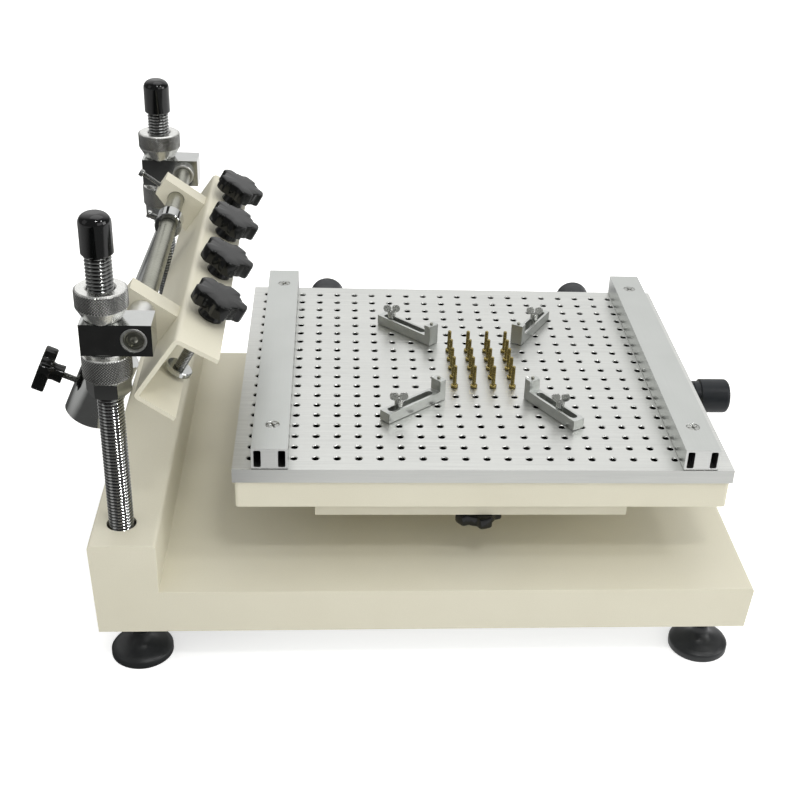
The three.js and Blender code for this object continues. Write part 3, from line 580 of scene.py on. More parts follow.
# %% [markdown]
# ## Sheet metal and bars with eased edges
#
# A real edge is never sharp: it catches the light in a thin line. These pieces keep the CAD node's exact
# shape, so each is a copy of its node with the loose triangles merged and its edges bevelled. The width
# given is the most they can get. Where two edges stand close together, Blender narrows all bevels of the
# piece so that none overlap. Only the pedestal and the board clamps get the full width. The base, the
# stage plate and the tray get about 0.2 mm, the wing screws 0.1 mm, the rails and the blocks less, and the
# channel 0.02 mm.

# %% Eased copies of CAD nodes
def eased(node, width, segments=2, angle=30):
    """A copy of a CAD node whose edges are rounded by up to width, in millimetres."""
    bm = bmesh.new()
    bm.from_mesh(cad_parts[node].data)
    bmesh.ops.remove_doubles(bm, verts=bm.verts, dist=0.001 * mm)
    bmesh.ops.dissolve_limit(bm, angle_limit=math.radians(1), verts=bm.verts, edges=bm.edges)
    piece = object_from(bm, node + "_eased")
    bevel = piece.modifiers.new("Bevel", "BEVEL")
    bevel.width = width * mm
    bevel.segments = segments
    bevel.limit_method = "ANGLE"
    bevel.angle_limit = math.radians(angle)
    return crisp(applied(piece))


for node, width, segments, body, finish in (
    ("base_housing", 0.9, 3, "base", cream_paint),
    ("stage_plate", 0.6, 2, "base", cream_paint),
    ("pedestal", 0.6, 2, "base", cream_paint),
    ("tray", 0.8, 3, "platform", cream_paint),
    ("frame_clamp_beam", 0.5, 2, "clamp_beam", cream_paint),
    ("block_near", 0.5, 3, "carriage", chrome),
    ("block_far", 0.5, 3, "carriage", chrome),
):
    seat(eased(node, width, segments), body, finish, node)

# %% [markdown]
# ## Perforated work plate
#
# The plate is milled from 10.5 mm aluminium and drilled with a grid of 4.6 mm holes, 15 mm apart. A
# boolean with four hundred cylinders is slow and leaves poor faces. Here one tile with one hole is made
# with care, Geometry Nodes set it on every grid point, and merging by distance joins the tiles into one
# closed plate. The two columns under the rails aren't drilled.

# %% One tile with a hole
pitch = 15
hole_radius, hole_chamfer = 2.3, 0.55
plate_thickness = (plate_high.z - plate_low.z) / mm
columns, rows_of_holes = 23, 19
undrilled = (1, columns - 2)


def make_tile(sides=20):
    """A square tile with a chamfered hole through it, open at its four sides."""
    bm = bmesh.new()

    def point(x, y, z):
        return bm.verts.new((x * mm, y * mm, z * mm))

    mouth, bottom = hole_radius + hole_chamfer, -plate_thickness
    levels = (mouth, 0), (hole_radius, -hole_chamfer), (hole_radius, bottom + hole_chamfer), (mouth, bottom)
    angles = [math.radians(45) + 2 * math.pi * k / sides for k in range(sides)]
    rings = [[point(radius * math.cos(a), radius * math.sin(a), z) for a in angles] for radius, z in levels]
    for a, b in zip(rings, rings[1:]):
        for k in range(sides):
            bm.faces.new((a[k], b[k], b[(k + 1) % sides], a[(k + 1) % sides]))
    half, quarter = pitch / 2, sides // 4
    for ring, z in ((rings[0], 0), (rings[-1], bottom)):
        corners = [point(x * half, y * half, z) for x, y in ((1, 1), (-1, 1), (-1, -1), (1, -1))]
        for k in range(4):
            arc = [ring[(k * quarter + j) % sides] for j in range(quarter + 1)]
            bm.faces.new((corners[k], corners[(k + 1) % 4], *reversed(arc)))
    return object_from(bm, "tile")


# %% Plate tree
def make_plate_tree():
    tree, size = new_tree("Perforated plate", ["Columns", "Rows", "Pitch", "Undrilled", "Piece"])
    spans = {}
    for name in ("Columns", "Rows"):
        less = add(tree, "ShaderNodeMath", {"operation": "SUBTRACT"}, {0: size[name], 1: 1})
        spans[name] = add(tree, "ShaderNodeMath", {"operation": "MULTIPLY"}, {
            0: less.outputs[0], 1: size["Pitch"],
        }).outputs[0]
    grid = add(tree, "GeometryNodeMeshGrid", inputs={
        "Size X": spans["Columns"], "Size Y": spans["Rows"],
        "Vertices X": size["Columns"], "Vertices Y": size["Rows"],
    })
    place = add(tree, "ShaderNodeSeparateXYZ", inputs={0: add(tree, "GeometryNodeInputPosition").outputs[0]})
    from_middle = add(tree, "ShaderNodeMath", {"operation": "ABSOLUTE"}, {0: place.outputs["X"]})
    half_span = add(tree, "ShaderNodeMath", {"operation": "MULTIPLY"}, {0: spans["Columns"], 1: 0.5})
    from_edge = add(tree, "ShaderNodeMath", {"operation": "SUBTRACT"}, {
        0: half_span.outputs[0], 1: from_middle.outputs[0],
    })
    undrilled_place = add(tree, "ShaderNodeMath", {"operation": "MULTIPLY"}, {
        0: size["Undrilled"], 1: size["Pitch"],
    })
    skipped = add(tree, "ShaderNodeMath", {"operation": "COMPARE"}, {
        0: from_edge.outputs[0], 1: undrilled_place.outputs[0], 2: 1 * mm,
    })
    kept = add(tree, "GeometryNodeDeleteGeometry", inputs={
        0: grid.outputs[0], "Selection": skipped.outputs[0],
    })
    tile = add(tree, "GeometryNodeObjectInfo", inputs={"Object": size["Piece"]})
    tiles = add(tree, "GeometryNodeInstanceOnPoints", inputs={
        "Points": kept.outputs[0], "Instance": tile.outputs["Geometry"],
    })
    real = add(tree, "GeometryNodeRealizeInstances", inputs={0: tiles.outputs[0]})
    joined = add(tree, "GeometryNodeJoinGeometry")
    for part in (real.outputs[0], size["Geometry"]):
        tree.links.new(part, joined.inputs[0])
    welded = add(tree, "GeometryNodeMergeByDistance", inputs={0: joined.outputs[0], "Distance": 0.01 * mm})
    close_tree(tree, welded.outputs[0], size["Finish"])
    return tree


# %% [markdown]
# The tiles reach half a pitch round each hole. The plate's margins, its undrilled columns and its four
# sides are a skin of plain faces with corners at the same places, so that everything welds together.

# %% Plate
def grid_lines(count, before, after):
    """Where the cells round the holes begin and end, and the plate's own two edges."""
    return [-before, *((k - 0.5) * pitch for k in range(count + 1)), (count - 1) * pitch + after]


def make_plate():
    middle_x, middle_y = (columns - 1) * pitch / 2, (rows_of_holes - 1) * pitch / 2
    lines_x = grid_lines(columns, left_margin, right_margin)
    lines_y = grid_lines(rows_of_holes, end_margin, end_margin)
    top, bottom = 0, -plate_thickness
    bm = bmesh.new()

    def skin_face(*corners):
        """A face of its own, about the middle of the hole grid."""
        bm.faces.new([
            bm.verts.new(((x - middle_x) * mm, (y - middle_y) * mm, z * mm)) for x, y, z in corners
        ])

    for i, (x0, x1) in enumerate(zip(lines_x, lines_x[1:])):
        for j, (y0, y1) in enumerate(zip(lines_y, lines_y[1:])):
            inside = 0 < i <= columns and 0 < j <= rows_of_holes
            if inside and i - 1 not in undrilled:
                continue
            for z in (top, bottom):
                skin_face((x0, y0, z), (x1, y0, z), (x1, y1, z), (x0, y1, z))
    for x0, x1 in zip(lines_x, lines_x[1:]):
        for y in (lines_y[0], lines_y[-1]):
            skin_face((x0, y, top), (x0, y, bottom), (x1, y, bottom), (x1, y, top))
    for y0, y1 in zip(lines_y, lines_y[1:]):
        for x in (lines_x[0], lines_x[-1]):
            skin_face((x, y0, top), (x, y0, bottom), (x, y1, bottom), (x, y1, top))
    plate = object_from(bm, "perforated_plate")
    tile = make_tile()
    grow(plate, make_plate_tree(), Columns=float(columns), Rows=float(rows_of_holes), Pitch=pitch * mm,
         Undrilled=float(undrilled[0]), Piece=tile, Finish=milled_plate)
    bpy.data.objects.remove(tile)
    bm = bmesh.new()
    bm.from_mesh(plate.data)
    bmesh.ops.recalc_face_normals(bm, faces=bm.faces)
    bm.to_mesh(plate.data)
    bm.free()
    shade(plate, 35)
    return settle(plate, Matrix.Translation(spot(middle_x, middle_y, 0)))


plate = seat(make_plate(), "platform", milled_plate, "work_plate")


def in_bore(face):
    """Whether a face is the wall of a hole of the grid."""
    column, row = (round(v / (pitch * mm)) for v in (face.center - corner_hole).xy)
    from_hole = (face.center - spot(column * pitch, row * pitch, 0)).xy.length / mm
    return abs(face.normal.z) < 0.1 and 0 <= row < rows_of_holes and from_hole < hole_radius + 0.1


# The walls of the holes get the dark finish, as painted shade.
second_finish(plate, painted_bore_shade, in_bore)
print("bore faces:", sum(face.material_index for face in plate.data.polygons))

# %% [markdown]
# ## Rails
#
# Two extruded bars lie on the plate, each with two slots along its whole length and two countersunk
# screws. The bar is an eased copy of its node. A cone cuts each countersink, and the screw's head
# sits in it, just below the surface.

# %% Countersunk screws
rail_screw_places = ((14.8, 19), (14.8, 258), (315.5, 19), (315.5, 258))
rail_top = 16
screw_head_radius, screw_head_height = 4.6, 2.6
recess_reach, recess_depth, recess_width_share = 2.9, 1.4, 0.42
head_sink = 0.25


def cross_recess(radius, depth):
    """A cutter for a cross recess, about Z, that points down from height 0."""
    bm = bmesh.new()
    for turn in (0, math.pi / 2):
        block = Matrix.Rotation(turn, 4, "Z") @ Matrix.Translation((0, 0, -depth / 2 * mm + 0.5 * mm))
        bmesh.ops.create_cube(bm, size=1, matrix=block @ Matrix.Diagonal((
            2 * radius * mm, radius * recess_width_share * mm, (depth + 1) * mm, 1)))
    return object_from(bm, "recess")


def carve(piece, *tools, crease=35):
    """Cuts the tools out of a piece and removes them."""
    for tool in tools:
        cut = piece.modifiers.new("cut", "BOOLEAN")
        cut.operation = "DIFFERENCE"
        cut.solver = "EXACT"
        cut.use_self = True
        cut.object = tool
    applied(piece)
    for tool in tools:
        bpy.data.objects.remove(tool)
    return crisp(piece, crease)


def screw_head(radius, height):
    head = turned("head", [
        (0, -height), (radius - height, -height), (radius, -0.35), (radius, -0.15), (radius - 0.25, 0),
        (radius * 0.5, 0.12), (0, 0.15),
    ], 40)
    return carve(head, cross_recess(recess_reach, recess_depth))


# %% Rails
sink_bore, sink_mouth = screw_head_radius - 2.2, screw_head_radius + 0.45
sink_profile = [(0, -4), (sink_bore, -4), (sink_bore, -2.9), (sink_mouth, 0), (sink_mouth, 1), (0, 1)]
for side, screws in (("left", rail_screw_places[:2]), ("right", rail_screw_places[2:])):
    places = [Matrix.Translation(spot(x, y, rail_top)) for x, y in screws]
    sinks = [settle(turned("sink", sink_profile, 40), place) for place in places]
    rail = seat(carve(eased(f"rail_{side}", 0.35), *sinks), "platform", drawn_rail, f"rail_{side}")
    # The end faces get the saw's rougher finish and a paler colour as painted light.
    second_finish(rail, sawn_end_painted_pale, lambda face: abs(face.normal.y) > 0.9)
head_places = [spot(x, y, rail_top - head_sink) for x, y in rail_screw_places]
heads = copied("rail_screws", screw_head(screw_head_radius, screw_head_height), head_places, turned_steel,
               turns=[0.4, 1.1, 0.2, 0.7])
seat(heads, "platform", turned_steel)
recess_top = spot(0, 0, rail_top - head_sink - 0.4).z
# The cross recesses of the screw heads get the same painted shade.
second_finish(heads, painted_bore_shade, lambda face: face.center.z < recess_top)

# %% [markdown]
# ## Threaded posts
#
# The posts are M18 rods with a 2.5 mm pitch. Their thread shows above the step as a fine ladder of
# highlights, so it is cut as geometry. Under the deck, where nobody looks, the rod stays plain.

# %% Posts and caps
post_radius, post_pitch, plain_length = 8.65, 2.5, 55
cap_radius, cap_round, dome_start = 10.2, 7.2, 20
for end in ("near", "far"):
    low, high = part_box(f"post_{end}")
    length = (high.z - low.z) / mm
    post = threaded(f"threaded_post_{end}", post_radius, plain_length, length, post_pitch, segments=32,
                    finish=chrome)
    stem_radius, stem_top = post_radius - 1, plain_length + 1
    stem = turned("stem", [(0, 0), (stem_radius, 0), (stem_radius, stem_top), (0, stem_top)], 32)
    post = settle(merged(post, stem), foot_of(f"post_{end}"))
    shade(post, 60)
    seat(post, "base", chrome, f"post_{end}")
    cap_low, cap_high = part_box(f"post_cap_{end}")
    height = (cap_high.z - cap_low.z) / mm
    steps = [math.pi / 2 * k / 12 for k in range(13)]
    dome = [
        (cap_radius - cap_round + cap_round * math.cos(a), dome_start + (height - dome_start) * math.sin(a))
        for a in steps
    ]
    cap = turned(f"vinyl_cap_{end}", [
        (8.9, 0), (9.9, 0), (cap_radius, 0.4), *dome, (0, height), (0, 20.3), (8.9, 20.3)], 56, bored=True)
    seat(settle(cap, foot_of(f"post_cap_{end}")), "base", vinyl, f"post_cap_{end}")

# %% [markdown]
# ## Nuts
#
# On each post a knurled nut with a cone presses the carriage block down, and a knurled and a hexagon nut
# carry it. The knurl is a fine diamond pattern, about 1.9 mm across. The hexagon's corners are chamfered
# by a cone, which gives the curved edges that every turned nut has.

# %% Knurled nuts
bore = 9.0
knurl_pitch, knurl_depth = 1.9, 0.6


def knurled(name, radius, z0, z1, below, above):
    """A knurled band from z0 to z1, closed by the profile points below and above it."""
    count = round((z1 - z0) / knurl_pitch * 4)
    band = [(radius, z0 + (z1 - z0) * k / count) for k in range(count + 1)]
    around = round(2 * math.pi * radius / knurl_pitch)
    piece = turned(name, [*below, *band, *above], around * 4, bored=True)
    grow(piece, knurl_tree, Radius=radius * mm, Depth=knurl_depth * mm, Pitch=knurl_pitch * mm,
         Around=float(around), Finish=knurled_steel)
    shade(piece, 25)
    skin = [v.co.xy.length / mm for v in piece.data.vertices if z0 < v.co.z / mm < z1]
    print(f"{name}: knurl between radius {min(skin):.2f} and {max(skin):.2f} mm")
    return piece


def hex_nut(name, flats, height, hole, segments=72):
    """A hexagon nut with its flat side towards the front, chamfered above and below."""
    bm = bmesh.new()
    inner = flats / 2 - 0.3
    rows = []
    for high, kind in ((0, "hole"), (0, "rim"), (0, "side"), (1, "side"), (1, "rim"), (1, "hole")):
        row = []
        for k in range(segments):
            angle = 2 * math.pi * k / segments
            out = flats / 2 / math.cos(angle % (math.pi / 3) - math.pi / 6)
            radius = {"hole": hole, "rim": inner, "side": out}[kind]
            z = (out - inner) * math.tan(math.radians(30)) if kind == "side" else 0
            z = height - z if high else z
            row.append(bm.verts.new((radius * math.cos(angle) * mm, radius * math.sin(angle) * mm, z * mm)))
        rows.append(row)
    for low, high in zip(rows, rows[1:] + rows[:1]):
        for k in range(segments):
            bm.faces.new((low[k], low[(k + 1) % segments], high[(k + 1) % segments], high[k]))
    return object_from(bm, name, 20)


for end in ("near", "far"):
    nuts = {
        "upper": knurled(
            f"upper_knurled_nut_{end}", 17, 12, 22.8, [(bore, 0), (10, 0), (16.2, 10.6), (16.6, 11.4)],
            [(16.2, 23.4), (15.4, 24), (bore + 1, 24), (bore, 23.2)]),
        "lower": knurled(
            f"lower_knurled_nut_{end}", 16.25, 1.2, 16, [(bore, 0.8), (bore + 1, 0), (14.8, 0), (15.6, 0.5)],
            [(15.6, 16.7), (14.8, 17.2), (13, 17.2), (13, 19.2), (bore + 1, 19.2), (bore, 18.4)]),
        "hex": hex_nut(f"lock_nut_{end}", 25.5, 11.7, bore),
    }
    for kind, nut in nuts.items():
        node = f"{kind}_nut_{end}"
        seat(settle(nut, foot_of(node)), f"nuts_{end}", chrome if kind == "hex" else knurled_steel, node)

# %% [markdown]
# ## Pivot
#
# The shaft runs through both blocks in turned bushes. Seen from the front, a bush's end shows as rings
# round the shaft's own chamfered end.

# %% Shaft and bushes
pivot = middle_of("pivot_shaft")
beam_tilt = math.radians(35)
beam_middle = Vector((pivot.x, middle_of("frame_clamp_beam").y, pivot.z))
beam_place = Matrix.Translation(beam_middle) @ Matrix.Rotation(beam_tilt, 4, "Y")
along_y = Matrix.Rotation(math.radians(-90), 4, "X")
shaft_half = (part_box("pivot_shaft")[1].y - pivot.y) / mm
end_profile = [(0, 0.1), (1.6, 0.25), (2.4, 0.7), (2.5, 1.4), (4.2, 1.4), (4.6, 0), (5.8, 0), (6.4, 0.6)]
shaft = turned("chromed_shaft", [
    *((r, z - shaft_half) for r, z in end_profile), *((r, shaft_half - z) for r, z in reversed(end_profile)),
], 48)
seat(settle(shaft, Matrix.Translation(pivot) @ along_y), "clamp_beam", ground_steel, "pivot_shaft")
for end, side in (("near", -1), ("far", 1)):
    node = f"pivot_bush_{end}"
    low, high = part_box(node)
    length = (high.y - low.y) / mm
    bush = turned(f"turned_bush_{end}", [
        (6.7, 0.4), (6.9, 0), (7.3, 0), (7.4, 0.3), (7.6, 0.3), (7.8, 0), (8, 0), (8.5, 0.5),
        (8.5, length - 0.4), (8.1, length), (6.7, length),
    ], 48, bored=True)
    outer = low.y if side < 0 else high.y
    turn = along_y if side < 0 else along_y @ Matrix.Rotation(math.pi, 4, "X")
    bush_place = Matrix.Translation((pivot.x, outer, pivot.z)) @ turn
    # The bushes' pale colour is a painted highlight.
    seat(settle(bush, bush_place), "carriage", turned_steel_painted_pale, node)

# %% [markdown]
# ## Star knobs
#
# A star knob has five soft lobes so that wet fingers can grip it. Its outline is a circle whose radius
# swells five times. Rings of that outline are stacked and drawn in at the edges, which rounds them as the
# mould does. Under the head a hub takes the screw.

# %% Star knob
def star_head(name, outer, waist, z0, z1, edge=1.3, points=100):
    bm = bmesh.new()
    top = z1 - 0.2
    rings = [(z0, edge * 0.9), (z0 + edge * 0.3, edge * 0.25), (z0 + edge, 0), (top - edge, 0),
             (top - edge * 0.6, edge * 0.1), (top - edge * 0.2, edge * 0.45), (top, edge), (z1, outer * 0.5)]
    rows = []
    for z, inset in rings:
        row = []
        for k in range(points):
            angle = 2 * math.pi * k / points
            lobe = min(1, max(0, 0.55 + 0.9 * math.cos(5 * angle)))
            swell = lobe * lobe * (3 - 2 * lobe)
            radius = (waist + (outer - waist) * swell - inset) * mm
            row.append(bm.verts.new((radius * math.cos(angle), radius * math.sin(angle), z * mm)))
        rows.append(row)
    for low, high in zip(rows, rows[1:]):
        for k in range(points):
            bm.faces.new((low[k], low[(k + 1) % points], high[(k + 1) % points], high[k]))
    bm.faces.new(list(reversed(rows[0])))
    bm.faces.new(rows[-1])
    return object_from(bm, name, 50)


beam_web, flange_top, knob_offset, knob_pitch, knob_shift = 20.5, 15.8, 19.1, 71.5, 6.2
flange_opening = math.radians(5.5)
foot_top, foot_bottom = -43.75, -47.75
foot_radius, clamp_screw_radius, clamp_screw_pitch = 9.5, 4, 1.25
knob_spin, knob_spin_step = 202, 3  # degrees: the four knobs stand almost alike in the photograph
for number in range(1, 5):
    local = beam_place @ Matrix.Translation(Vector((
        beam_web + knob_offset * math.cos(flange_opening), (number - 2.5) * knob_pitch + knob_shift,
        flange_top + knob_offset * math.sin(flange_opening))) * mm) @ Matrix.Rotation(-flange_opening, 4, "Y")
    head = star_head(f"star_knob_{number}", 19, 15.6, 8.5, 19.5)
    hub = turned("hub", [(0, 0.3), (8.6, 0.3), (9, 0.8), (8.7, 2.6), (7.8, 5.6), (8, 9), (0, 9)], 40)
    spin = Matrix.Rotation(math.radians(knob_spin + knob_spin_step * number), 4, "Z")
    seat(settle(merged(head, hub), local @ spin), f"knob_{number}", phenolic, f"frame_knob_{number}")
    screw = threaded(f"clamp_screw_{number}", clamp_screw_radius, foot_top + 0.3, 0.6, clamp_screw_pitch,
                     segments=20, rows_per_pitch=5)
    seat(settle(screw, local), f"knob_{number}", turned_steel)
    pad = turned(f"pressure_pad_{number}", [
        (0, foot_bottom), (foot_radius - 0.6, foot_bottom), (foot_radius, foot_bottom + 0.5),
        (foot_radius, foot_top - 0.6), (foot_radius - 0.6, foot_top), (0, foot_top)], 40)
    seat(settle(pad, local), f"pad_{number}", chrome, f"pressure_foot_{number}")

# %% Set screws of the gussets
set_screw_radius, set_screw_pitch, set_head_radius = 2, 0.8, 3
gusset_place = 103.5


def set_screw(name, low, high, head_low, head_high):
    """A small threaded screw with a cylinder head, about Z."""
    screw = threaded(name, set_screw_radius, low, high, set_screw_pitch, segments=16, rows_per_pitch=4)
    return merged(screw, turned("head", rod(set_head_radius, head_low, head_high, chamfer=0.3), 24))


towards_left = Matrix.Rotation(math.radians(-90), 4, "Y")
for end, side in (("near", -1), ("far", 1)):
    axis = beam_place @ Matrix.Translation((0, side * gusset_place * mm, 0)) @ towards_left
    bolt = set_screw(f"gusset_bolt_{end}", 6.7, 31.5, 30.9, 34)
    seat(settle(bolt, axis), "clamp_beam", chrome, f"gusset_screw_{end}")

# %% [markdown]
# ## Counterweight
#
# A chromed cylinder slides on a thin arm and balances the stencil frame. Its collar is loose in the
# photograph, so the weight leans on the step. A star knob on a stud locks it to the arm.

# %% Counterweight
step_reach, step_drop = 39.6, 147
weight_radius, rest_gap = 20.75, 1.6
weight_top, weight_bottom, lock_reach = -125, -185, -159
lean_to_step = math.asin((weight_radius + rest_gap) / math.hypot(step_reach, step_drop))
arm_lean = math.atan2(step_reach, step_drop) + lean_to_step
arm_place = Matrix.Translation(pivot + Vector((0, 34.85 * mm, 0))) @ Matrix.Rotation(arm_lean, 4, "Y")
collar = turned("collar_ring", [
    (6.75, -8), (9.6, -8), (10.2, -7.4), (10.2, 7.4), (9.6, 8), (6.75, 8)], 48, bored=True)
settle(collar, along_y)
arm = turned("arm_rod", [(0, -181), (6.4, -181), (7, -180.4), (7, -7.2), (0, -7.2)], 40)
seat(settle(merged(collar, arm), arm_place), "arm", chrome, "counterweight_arm")
collar_bolt = set_screw("collar_bolt", 7.05, 15, 14.5, 17.5)
seat(settle(collar_bolt, arm_place @ towards_left), "arm", chrome, "collar_screw")
weight_edge = 0.8
weight = turned("chromed_weight", [
    (7.35, weight_bottom + weight_edge), (8, weight_bottom), (weight_radius - weight_edge, weight_bottom),
    (weight_radius, weight_bottom + weight_edge), (weight_radius, weight_top - weight_edge),
    (weight_radius - weight_edge, weight_top), (8, weight_top), (7.35, weight_top - weight_edge),
], 64, bored=True)
seat(settle(weight, arm_place), "weight", chrome, "counterweight")
lock_place = arm_place @ Matrix.Translation((0, 0, lock_reach * mm)) @ towards_left
lock_head = star_head("lock_star_knob", 19, 15, 40.75, 50.95)
lock_hub = turned("hub", [(0, 30.75), (7.1, 30.75), (7.5, 31.2), (7, 38), (7.6, 41), (0, 41)], 32)
seat(settle(merged(lock_head, lock_hub), lock_place), "weight_lock", phenolic, "counterweight_lock_knob")
lock_stud = threaded("lock_stud", 2.75, 7.65, 31.2, 1, segments=18, rows_per_pitch=4)
seat(settle(lock_stud, lock_place), "weight_lock", turned_steel)

# %% [markdown]
# ## Levelling feet
#
# Each foot is a rubber cone on a steel stud. The cone's foot is a flat rim, and its side curves in towards
# the stud like a bell.

# %% Feet
for corner in ("front_left", "front_right", "back_left", "back_right"):
    node = f"foot_{corner}"
    height = (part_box(node)[1].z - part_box(node)[0].z) / mm
    pad = turned(f"rubber_{node}", [
        (0, 0), (21.4, 0), (22, 0.6), (22, 4.6), (21.2, 5.8), (17.5, 7.4), (12.4, 9.6), (8.6, 12),
        (6.6, 14.2), (6, 16), (6, 19.6), (5.6, 20), (0, 20)], 56)
    seat(settle(pad, foot_of(node)), f"leveller_{corner}", rubber, node)
    stud = threaded(f"stud_{node}", 4, 19.5, height, 1.25, segments=20, rows_per_pitch=5)
    seat(settle(stud, foot_of(node)), f"leveller_{corner}", turned_steel)

# %% [markdown]
# ## Knobs under the plate
#
# Three adjusting knobs push the platform, two from the back and one from the right. They are black
# cylinders with a ribbed grip and a narrower neck. A flat star knob under the stage locks the platform.

# %% Adjusting knobs
def adjusting_knob(name, radius, end):
    corner = [math.pi / 2 * k / 8 for k in range(9)]
    middle = radius - knob_round, end - knob_round
    crown = [(middle[0] + knob_round * math.cos(a), middle[1] + knob_round * math.sin(a)) for a in corner]
    return turned(name, [
        (0, 0.3), (9.6, 0.3), (10, 0.7), (10, 3.3), (11.6, 3.3), (12, 3.7), (12, 7.4), (11.4, 7.7),
        (11.4, 8.5), (12, 8.8), (12, 12.9), (12.2, 13.5), (radius - 0.5, 13.5), (radius, 14), *crown,
        (0, end),
    ], 64)


knob_round = 3.5
tray_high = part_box("tray")[1]
knob_places = {}
for key in ("rear_left", "rear_right"):
    middle = middle_of(f"adjust_knob_{key}")
    knob_places[key] = Matrix.Translation((middle.x, tray_high.y, middle.z)) @ along_y, 14.9, 39.3
along_x = Matrix.Rotation(math.radians(90), 4, "Y")
middle = middle_of("adjust_knob_side")
knob_places["side"] = Matrix.Translation((tray_high.x, middle.y, middle.z)) @ along_x, 13.7, 37.5
for key, (matrix, radius, end) in knob_places.items():
    knob = adjusting_knob(f"ribbed_knob_{key}", radius, end)
    seat(settle(knob, matrix), f"knob_{key}", nylon, f"adjust_knob_{key}")
    screw = threaded(f"adjust_screw_{key}", 4, -14, 0.6, 1, segments=20, rows_per_pitch=4)
    seat(settle(screw, matrix), f"knob_{key}", turned_steel)

# %% Platform lock knob
lock_low, lock_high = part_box("platform_lock_knob")
lock_foot = spot(162, 10, 0)
lock_foot.z = lock_low.z
flat_star = star_head("platform_star_knob", 18, 14.2, 0, 9)
seat(settle(flat_star, Matrix.Translation(lock_foot)), "platform_lock", phenolic, "platform_lock_knob")
stud_top = (lock_high.z - lock_low.z) / mm
lock_stud = threaded("platform_lock_stud", 2.75, 8, stud_top, 1, segments=18, rows_per_pitch=4)
seat(settle(lock_stud, Matrix.Translation(lock_foot)), "platform_lock", turned_steel)

# %% [markdown]
# ## Board clamps and support pins
#
# Four small slotted bars with an upright jaw hold the board. A wing screw fixes each of them in a plate
# hole. Twenty brass pins stand in the plate's holes and carry the board from below.

# %% Board clamps
clamp_places = {
    "front_left": (7, 4, 41, 0.227), "front_right": (15, 4, 122, 0.409),
    "back_left": (7, 14, -45, 0.159), "back_right": (15, 14, -121, 0.409),
}
slot_length, screw_to_jaw = 44, 51  # the second is from the start of the slot to the middle of the jaw
for corner, (column, row, heading, share) in clamp_places.items():
    seat(eased(f"board_clamp_{corner}", 0.3), f"clamp_{corner}", drawn_rail, f"board_clamp_{corner}")
    wing = eased(f"wing_screw_{corner}", 0.3, angle=35)
    seat(wing, f"screw_{corner}", cast_zinc, f"wing_screw_{corner}")
    reach = screw_to_jaw - slot_length * share
    heading = math.radians(heading)
    peg = turned(f"jaw_peg_{corner}", [
        (0, 16.5), (1.3, 16.5), (1.3, 18.3), (1, 18.7), (0.5, 18.7), (0, 18.3)], 20)
    place = spot(column * pitch + reach * math.cos(heading), row * pitch + reach * math.sin(heading), 0)
    seat(settle(peg, Matrix.Translation(place)), f"clamp_{corner}", ground_steel)

# %% Support pins
pin_profile = [
    (0, -10.2), (1.3, -10.2), (1.6, -9.8), (1.6, 0.3), (2.55, 0.3), (2.75, 0.5), (2.75, 2.1), (2.55, 2.3),
    (1.5, 2.5), (1.45, 18), (1.1, 18.5), (0, 18.5),
]
first_column, last_column, front_row, back_row = 10, 13, 7, 11
for number in range(1, 5):
    pin = turned(f"brass_pin_{number}", pin_profile, 24)
    place = spot((first_column + number - 1) * pitch, front_row * pitch, 0)
    seat(settle(pin, Matrix.Translation(place)), f"pin_{number}", brass, f"support_pin_{number}")
pin_places = [
    spot(column * pitch, row * pitch, 0)
    for column in range(first_column, last_column + 1) for row in range(front_row + 1, back_row + 1)
]
seat(copied("back_pins", turned("pin", pin_profile, 24), pin_places, brass), "platform", brass)

# %% [markdown]
# ## CAD nodes that stay
#
# The bottom plate and the cross slide are hidden in the machine, and their nodes have the right shape, so
# they only get a finish.

# %% Finishes of the hidden nodes
for node in ("base_bottom_plate", "cross_slide"):
    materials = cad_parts[node].data.materials
    materials.clear()
    materials.append(turned_steel)

# %% [markdown]
# ## Floor, light and background
#
# A product photograph like this is lit by large soft boxes in front and above, on white paper. The floor
# is white and adds a little glow of its own to what the camera sees, so that the lit floor is paper white
# and only the soft shadow under the machine stays. What reflections see of the floor is a painted
# reflection: a glow, dim in front of the machine and to its left. The world is white for the camera and
# for clear rays; for glossy rays it is bright towards the back and above and dim towards the front; and it
# is a plain grey for the light that falls on the object.

# %% Floor
floor_size = 6
floor_mesh = bpy.data.meshes.new("floor")
floor_corners = [(x * floor_size, y * floor_size, 0) for x, y in ((-1, -1), (1, -1), (1, 1), (-1, 1))]
floor_mesh.from_pydata(floor_corners, [], [(0, 1, 2, 3)])
floor = linked("floor", floor_mesh)
paper = bpy.data.materials.new("White paper")
paper.use_nodes = True
paper_tree = paper.node_tree
paper_tree.nodes.clear()
camera_glow = 0.55
seen = add(paper_tree, "ShaderNodeLightPath").outputs
matt = add(paper_tree, "ShaderNodeBsdfDiffuse", inputs={"Color": linear("F2F2F0")})
glow_strength = add(paper_tree, "ShaderNodeMath", {"operation": "MULTIPLY"}, {
    0: seen["Is Camera Ray"], 1: camera_glow,
})
glow = add(paper_tree, "ShaderNodeEmission", inputs={"Strength": glow_strength.outputs[0]})
both = add(paper_tree, "ShaderNodeAddShader", inputs={0: matt.outputs[0], 1: glow.outputs[0]})
where = add(paper_tree, "ShaderNodeSeparateXYZ", inputs={
    0: add(paper_tree, "ShaderNodeTexCoord").outputs["Object"],
}).outputs
